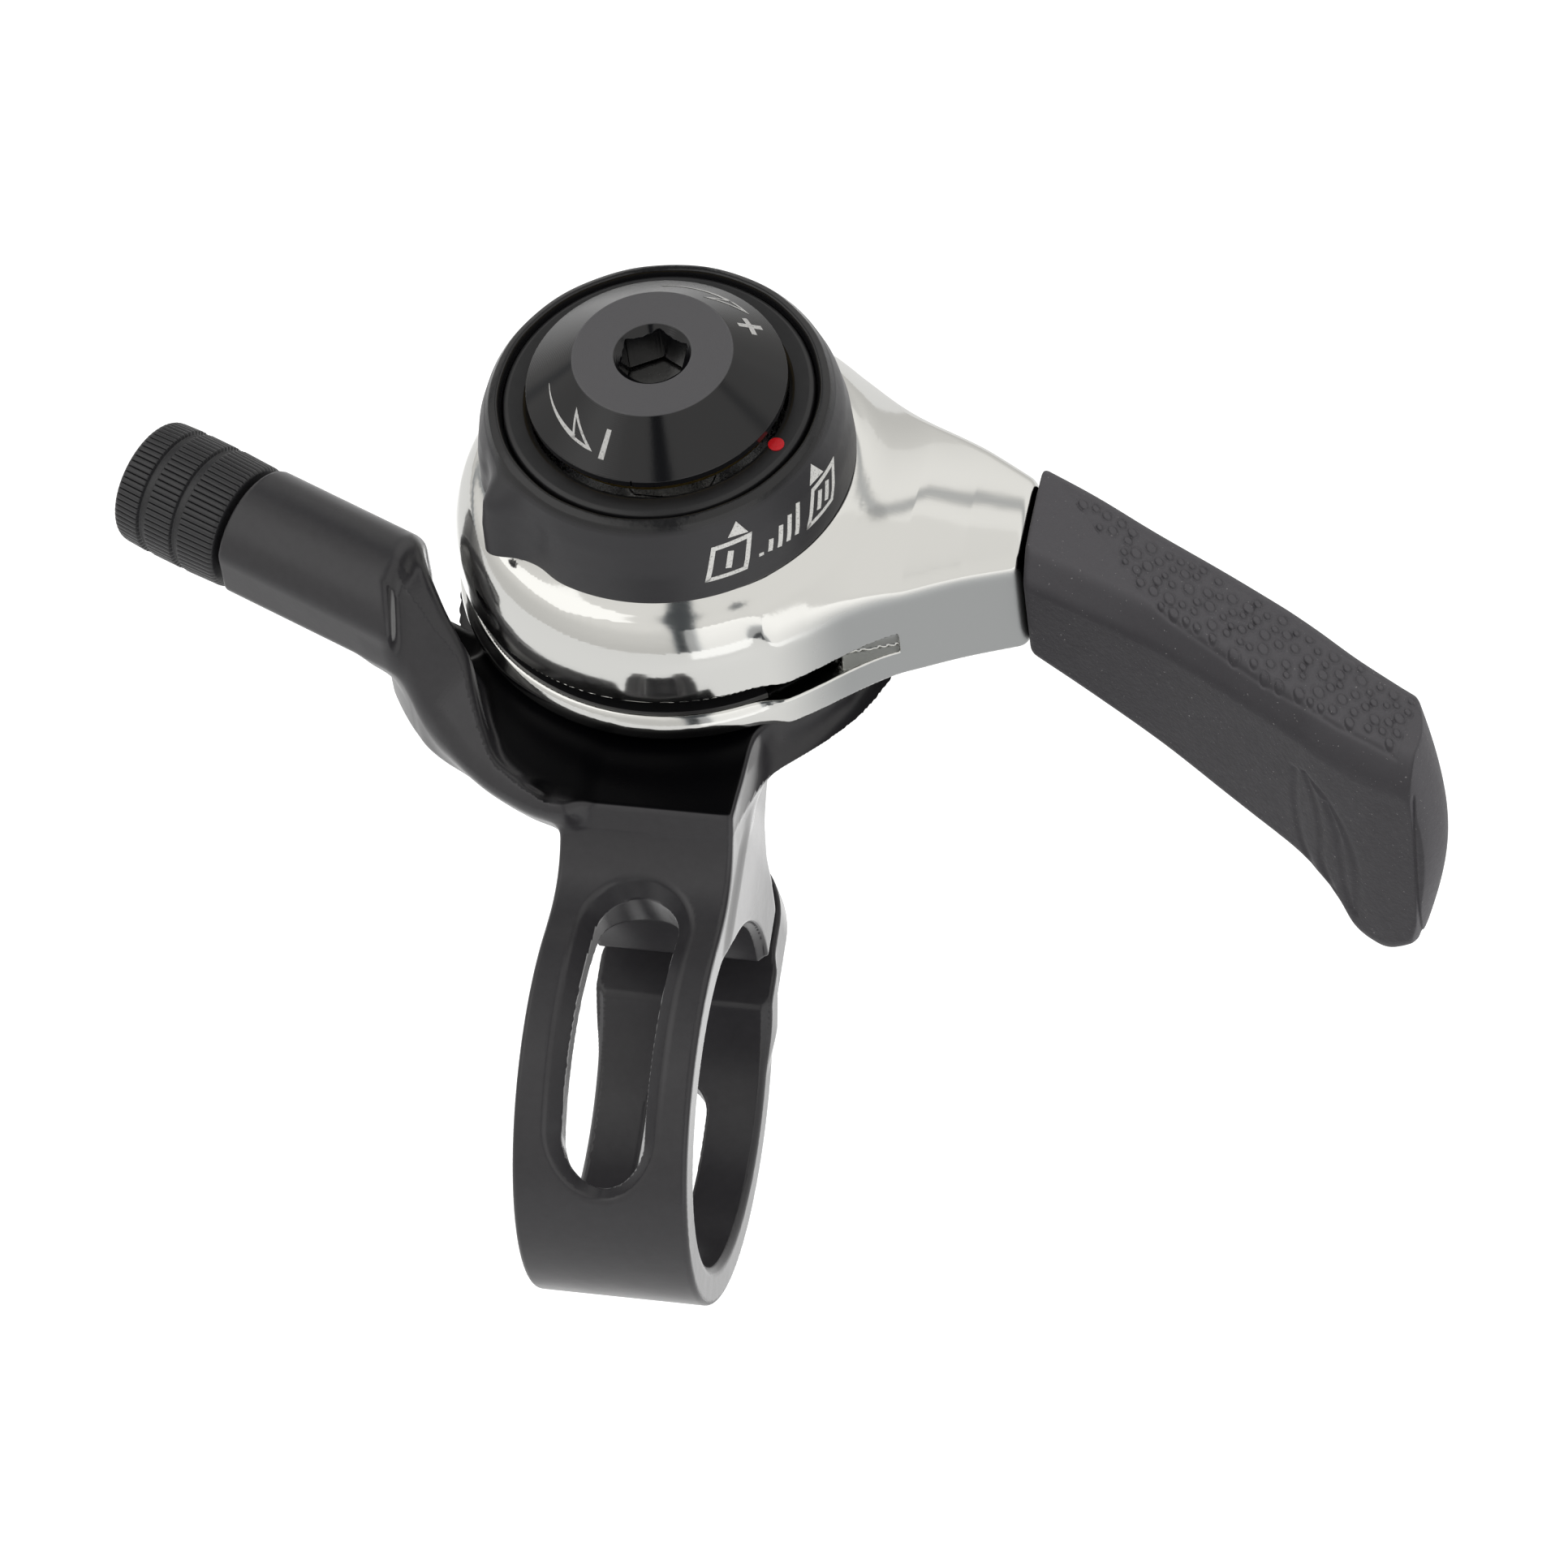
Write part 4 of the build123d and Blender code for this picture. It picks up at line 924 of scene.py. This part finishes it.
def grip_rubber():
    s = Shader("grip_rubber", (0.045, 0.044, 0.047), 0.6, **{"Specular_IOR_Level": 0.35})
    dust = s.step(s.noise(0.17, 2), 0.70, 0.76)
    nx, _, nz = s.split(s.coords.outputs["Normal"])
    # faces turned up or toward the tip are painted lighter: painted light on the grip's top and end
    lit_top_and_end = s.math("MAXIMUM", s.step(nz, 0.35, 0.95), s.step(nx, 0.5, 0.85))
    tone_and_painted_light = s.mix(s.noise(2.5, 4), (0.034, 0.032, 0.037), (0.048, 0.046, 0.052))
    tone_and_painted_light = s.mix(lit_top_and_end, tone_and_painted_light, (0.096, 0.093, 0.102))
    s.set("Base Color", s.mix(s.math("MULTIPLY", dust, 0.6), tone_and_painted_light, (0.36, 0.35, 0.35)))
    s.set("Roughness", s.range(s.noise(0.5, 3), 0.5, 0.7))
    s.bump(s.noise(0.32, 5), 0.05)
    s.bump(s.noise(0.09, 3), 0.015)
    return s.mat


def dial_plastic():
    s = Shader("dial_plastic", (0.014, 0.014, 0.016), 0.42)
    z = s.split(s.place((*POD, 0)))[2]
    shoulder = s.step(z, 34.9, 35.4)
    rough = s.range(s.noise(0.7, 4), 0.38, 0.5)
    s.set("Roughness", s.math("SUBTRACT", rough, s.math("MULTIPLY", shoulder, 0.26)))
    s.set("Base Color", s.mix(shoulder, (0.026, 0.0255, 0.029), (0.010, 0.010, 0.011)))
    s.bump(s.math("MULTIPLY", s.noise(0.9, 4), shoulder), 0.03)
    s.bump(s.noise(0.25, 4), 0.006)
    return s.mat


def plastic(name, color, rough, grain=0.3, depth=0.012):
    s = Shader(name, color, rough)
    lighter = tuple(c * 1.5 for c in color)
    s.set("Base Color", s.mix(s.noise(1.5, 4), color, lighter))
    s.set("Roughness", s.range(s.noise(0.8, 3), rough - 0.07, rough + 0.08))
    s.bump(s.noise(grain, 4), depth)
    return s.mat


def metal(name, color, rough, stretch=(1, 1, 1)):
    s = Shader(name, color, rough, 1.0)
    darker = tuple(c * 0.75 for c in color)
    s.set("Base Color", s.mix(s.noise(0.9, 4), darker, color))
    s.set("Roughness", s.range(s.noise(0.3, 4, stretch), rough - 0.08, rough + 0.12))
    s.bump(s.noise(0.2, 4, stretch), 0.004)
    return s.mat


def enamel(name, color):
    s = Shader(name, color, 0.25, **{"Coat_Weight": 0.6, "Coat_Roughness": 0.08})
    s.set("Base Color", s.mix(s.noise(0.3, 3), tuple(c * 0.8 for c in color), color))
    s.bump(s.noise(0.25, 3), 0.02)
    return s.mat


def print_ink(name, color):
    s = Shader(name, color, 0.45)
    s.set("Base Color", s.mix(s.step(s.noise(0.12, 3), 0.5, 0.72), color, tuple(c * 0.55 for c in color)))
    s.bump(s.noise(0.1, 3), 0.01)
    return s.mat


FINISHES = {
    "anodised_black": anodised_black(),
    "anodised_cap": cap_black(),
    "polished_aluminium": polished_aluminium(),
    "grip_rubber": grip_rubber(),
    "dial_plastic": dial_plastic(),
    "knob_plastic": plastic("knob_plastic", (0.020, 0.020, 0.022), 0.36),
    "nylon_black": plastic("nylon_black", (0.010, 0.010, 0.011), 0.34, depth=0.004),
    "plate_steel": metal("plate_steel", (0.55, 0.55, 0.54), 0.25),
    "bolt_steel": metal("bolt_steel", (0.58, 0.58, 0.57), 0.22),
    "brass": metal("brass", (0.55, 0.40, 0.13), 0.3),
    "red_paint": enamel("red_paint", (0.72, 0.012, 0.02)),
}
WHITE_INK = print_ink("white_ink", (0.82, 0.82, 0.80))
SILVER_INK = print_ink("silver_ink", (0.62, 0.62, 0.61))

# ---- Build ---------------------------------------------------------------------------
for entry in frame["record"]["subparts"]:
    node = frame["nodes"][entry["node"]]
    node.data.materials.clear()
    node.data.materials.append(FINISHES[entry["material_slot"]])


def put(obj, body, slot_name, *nodes, material=None):
    """Gives a piece its finish and its body, in place of CAD nodes."""
    obj.data.materials.append(material or FINISHES[slot_name])
    if nodes:
        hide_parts(*nodes)
    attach(obj, body)
    return obj


def box_of(node, high_x=None):
    low, high = cad(node)
    return low, [high_x or high[0], *high[1:]]


put(solid_from("bracket_forging", bracket_field, *box_of("clamp_bracket"), 0.2),
    "bracket", "anodised_black", "clamp_bracket")
put(solid_from("lever_casting", lever_field, *box_of("lever_body", ARM_END), 0.18),
    "lever", "polished_aluminium", "lever_body")
put(solid_from("paddle_rubber", grip_field, GRIP_LOW, [c + 0.6 for c in GRIP_HIGH], 0.1),
    "lever", "grip_rubber", "lever_grip")
put(solid_from("friction_cap", cap_field, *box_of("cap_nut"), 0.1), "cap", "anodised_cap", "cap_nut")
put(lathe("mode_ring", dense(rounded(DIAL)), (*POD, 0), around=360, shape=dial_shape),
    "dial", "dial_plastic", "mode_dial")
put(lathe("ring_top", rounded(INDEX_RING), (*POD, 0)), "bracket", "nylon_black", "index_ring")
put(lathe("adjuster_knob", dense(rounded(KNOB_PROFILE)), CABLE_EXIT, SLIDE_AXIS, around=KNOB_RIBS * 8,
          shape=knob_shape), "adjuster_barrel", "knob_plastic", "barrel_adjuster")
put(stroke("dial_marks", dial_marks(), on_dial), "dial", "dial_plastic", material=WHITE_INK)
put(stroke("cap_marks", cap_marks(), on_cap), "cap", "anodised_cap", material=SILVER_INK)

# ---- camera --------------------------------------------------------------------------
VIEW_TARGET = Vector((9.05, 10.76, 20.0)) * MM
VIEW_AZIMUTH, VIEW_ELEVATION, VIEW_ROLL = 17.43, 52.13, -8.59
VIEW_DISTANCE = 0.5427
LENS = 195.65

camera = bpy.data.objects.new("camera", bpy.data.cameras.new("camera"))
bpy.context.scene.collection.objects.link(camera)
camera.data.lens = LENS
camera.data.sensor_width = 36
camera.data.clip_start = 0.01
az, el = math.radians(VIEW_AZIMUTH), math.radians(VIEW_ELEVATION)
outward = Vector((math.sin(az) * math.cos(el), -math.cos(az) * math.cos(el), math.sin(el)))
upright = outward.to_track_quat("Z", "Y").to_matrix().to_4x4()
roll = Matrix.Rotation(math.radians(VIEW_ROLL), 4, "Z")
camera.matrix_world = Matrix.Translation(VIEW_TARGET + outward * VIEW_DISTANCE) @ upright @ roll
bpy.context.scene.camera = camera


# ---- floor and light -----------------------------------------------------------------
# in metres: the floor's height, middle of its white part, radii where that starts and stops to dim
FLOOR_Z = -0.32
FLOOR_PATCH = (-0.07, 0.27)
PATCH_R = (0.17, 0.34)
FLOOR_FALL = 0.42  # how much dimmer it is beyond them


def pale_floor():
    """Glowing white floor well below the object, dimmer away from the part that shows behind it: the glow is
    painted light, its dimmer rim painted shade.
    """
    bpy.ops.mesh.primitive_plane_add(size=6, location=(0, 0, FLOOR_Z))
    floor = bpy.context.object
    floor.name = "floor"
    s = Shader("glowing_floor", (0.3, 0.3, 0.3), 0.9)
    x, y, _ = s.split(s.coords.outputs["Object"])
    away = s.hypot(*[s.math("SUBTRACT", c, centre) for c, centre in zip((x, y), FLOOR_PATCH)])
    # the floor glows: painted light, full in the patch behind the object and dimmer beyond it
    s.bsdf.inputs["Emission Color"].default_value = (1, 1, 1, 1)
    fade = s.step(away, *PATCH_R)
    s.set("Emission Strength", s.math("SUBTRACT", 1.0, s.math("MULTIPLY", fade, FLOOR_FALL)))
    floor.data.materials.append(s.mat)


SKY = (-0.1, 0.7, 0.62, 0.85)  # two heights up the sky, and the level at each
# planes through the centre that stay dark: normal, half widths of the dark core and its edge, level
DARK_GAPS = [((0.974, 0.228, 0.05), 0.065, 0.12, 0.08), ((0.35, 1.0, -0.9), 0.02, 0.09, 0.5)]
COOL, WARM = (0.84, 0.92, 1.0, 1), (1.0, 0.985, 0.96, 1)  # tints of the dark and the bright parts


def studio_world():
    """Light tent: bright overhead, dimmer towards the horizon, with dark gaps between the lights."""
    world = bpy.data.worlds.new("studio")
    world.use_nodes = True
    nodes, links = world.node_tree.nodes, world.node_tree.links
    coords = nodes.new("ShaderNodeTexCoord")
    axes = nodes.new("ShaderNodeSeparateXYZ")
    links.new(coords.outputs["Generated"], axes.inputs[0])

    def ease(value, low, high, to_low, to_high):
        node = nodes.new("ShaderNodeMapRange")
        node.interpolation_type = "SMOOTHSTEP"
        ends = {"From Min": low, "From Max": high, "To Min": to_low, "To Max": to_high}
        for socket, number in ends.items():
            node.inputs[socket].default_value = number
        links.new(value, node.inputs["Value"])
        return node.outputs[0]

    def times(a, b):
        node = nodes.new("ShaderNodeMath")
        node.operation = "MULTIPLY"
        links.new(a, node.inputs[0])
        links.new(b, node.inputs[1])
        return node.outputs[0]

    light = ease(axes.outputs["Z"], *SKY)
    for direction, narrow, wide, dark in DARK_GAPS:
        dot = nodes.new("ShaderNodeVectorMath")
        dot.operation = "DOT_PRODUCT"
        dot.inputs[1].default_value = Vector(direction).normalized()
        links.new(coords.outputs["Generated"], dot.inputs[0])
        away = nodes.new("ShaderNodeMath")
        away.operation = "ABSOLUTE"
        links.new(dot.outputs["Value"], away.inputs[0])
        light = times(light, ease(away.outputs[0], narrow, wide, dark, 1.0))
    tint = nodes.new("ShaderNodeMix")
    tint.data_type = "RGBA"
    tint.inputs[6].default_value = COOL
    tint.inputs[7].default_value = WARM
    links.new(ease(light, 0.1, 0.6, 0.0, 1.0), tint.inputs["Factor"])
    background = nodes["Background"]
    links.new(tint.outputs[2], background.inputs["Color"])
    links.new(light, background.inputs["Strength"])
    bpy.context.scene.world = world


# name, place, size and power
LIGHTS = [
    ("key", (-0.6, -0.15, 0.8), (0.9, 0.7), 0.8),
    ("fill", (0.6, -0.75, 0.15), (0.9, 0.8), 0.9),
    ("back", (0.1, 0.7, 0.6), (1.2, 0.7), 0.25),
]


def soft_light(name, place, size, power):
    data = bpy.data.lights.new(name, "AREA")
    data.shape = "RECTANGLE"
    data.size, data.size_y = size
    data.energy = power
    lamp = bpy.data.objects.new(name, data)
    bpy.context.scene.collection.objects.link(lamp)
    lamp.location = place
    lamp.rotation_euler = (VIEW_TARGET - Vector(place)).to_track_quat("-Z", "Y").to_euler()


pale_floor()
studio_world()
for light in LIGHTS:
    soft_light(*light)
bpy.context.scene.view_settings.view_transform = "Standard"
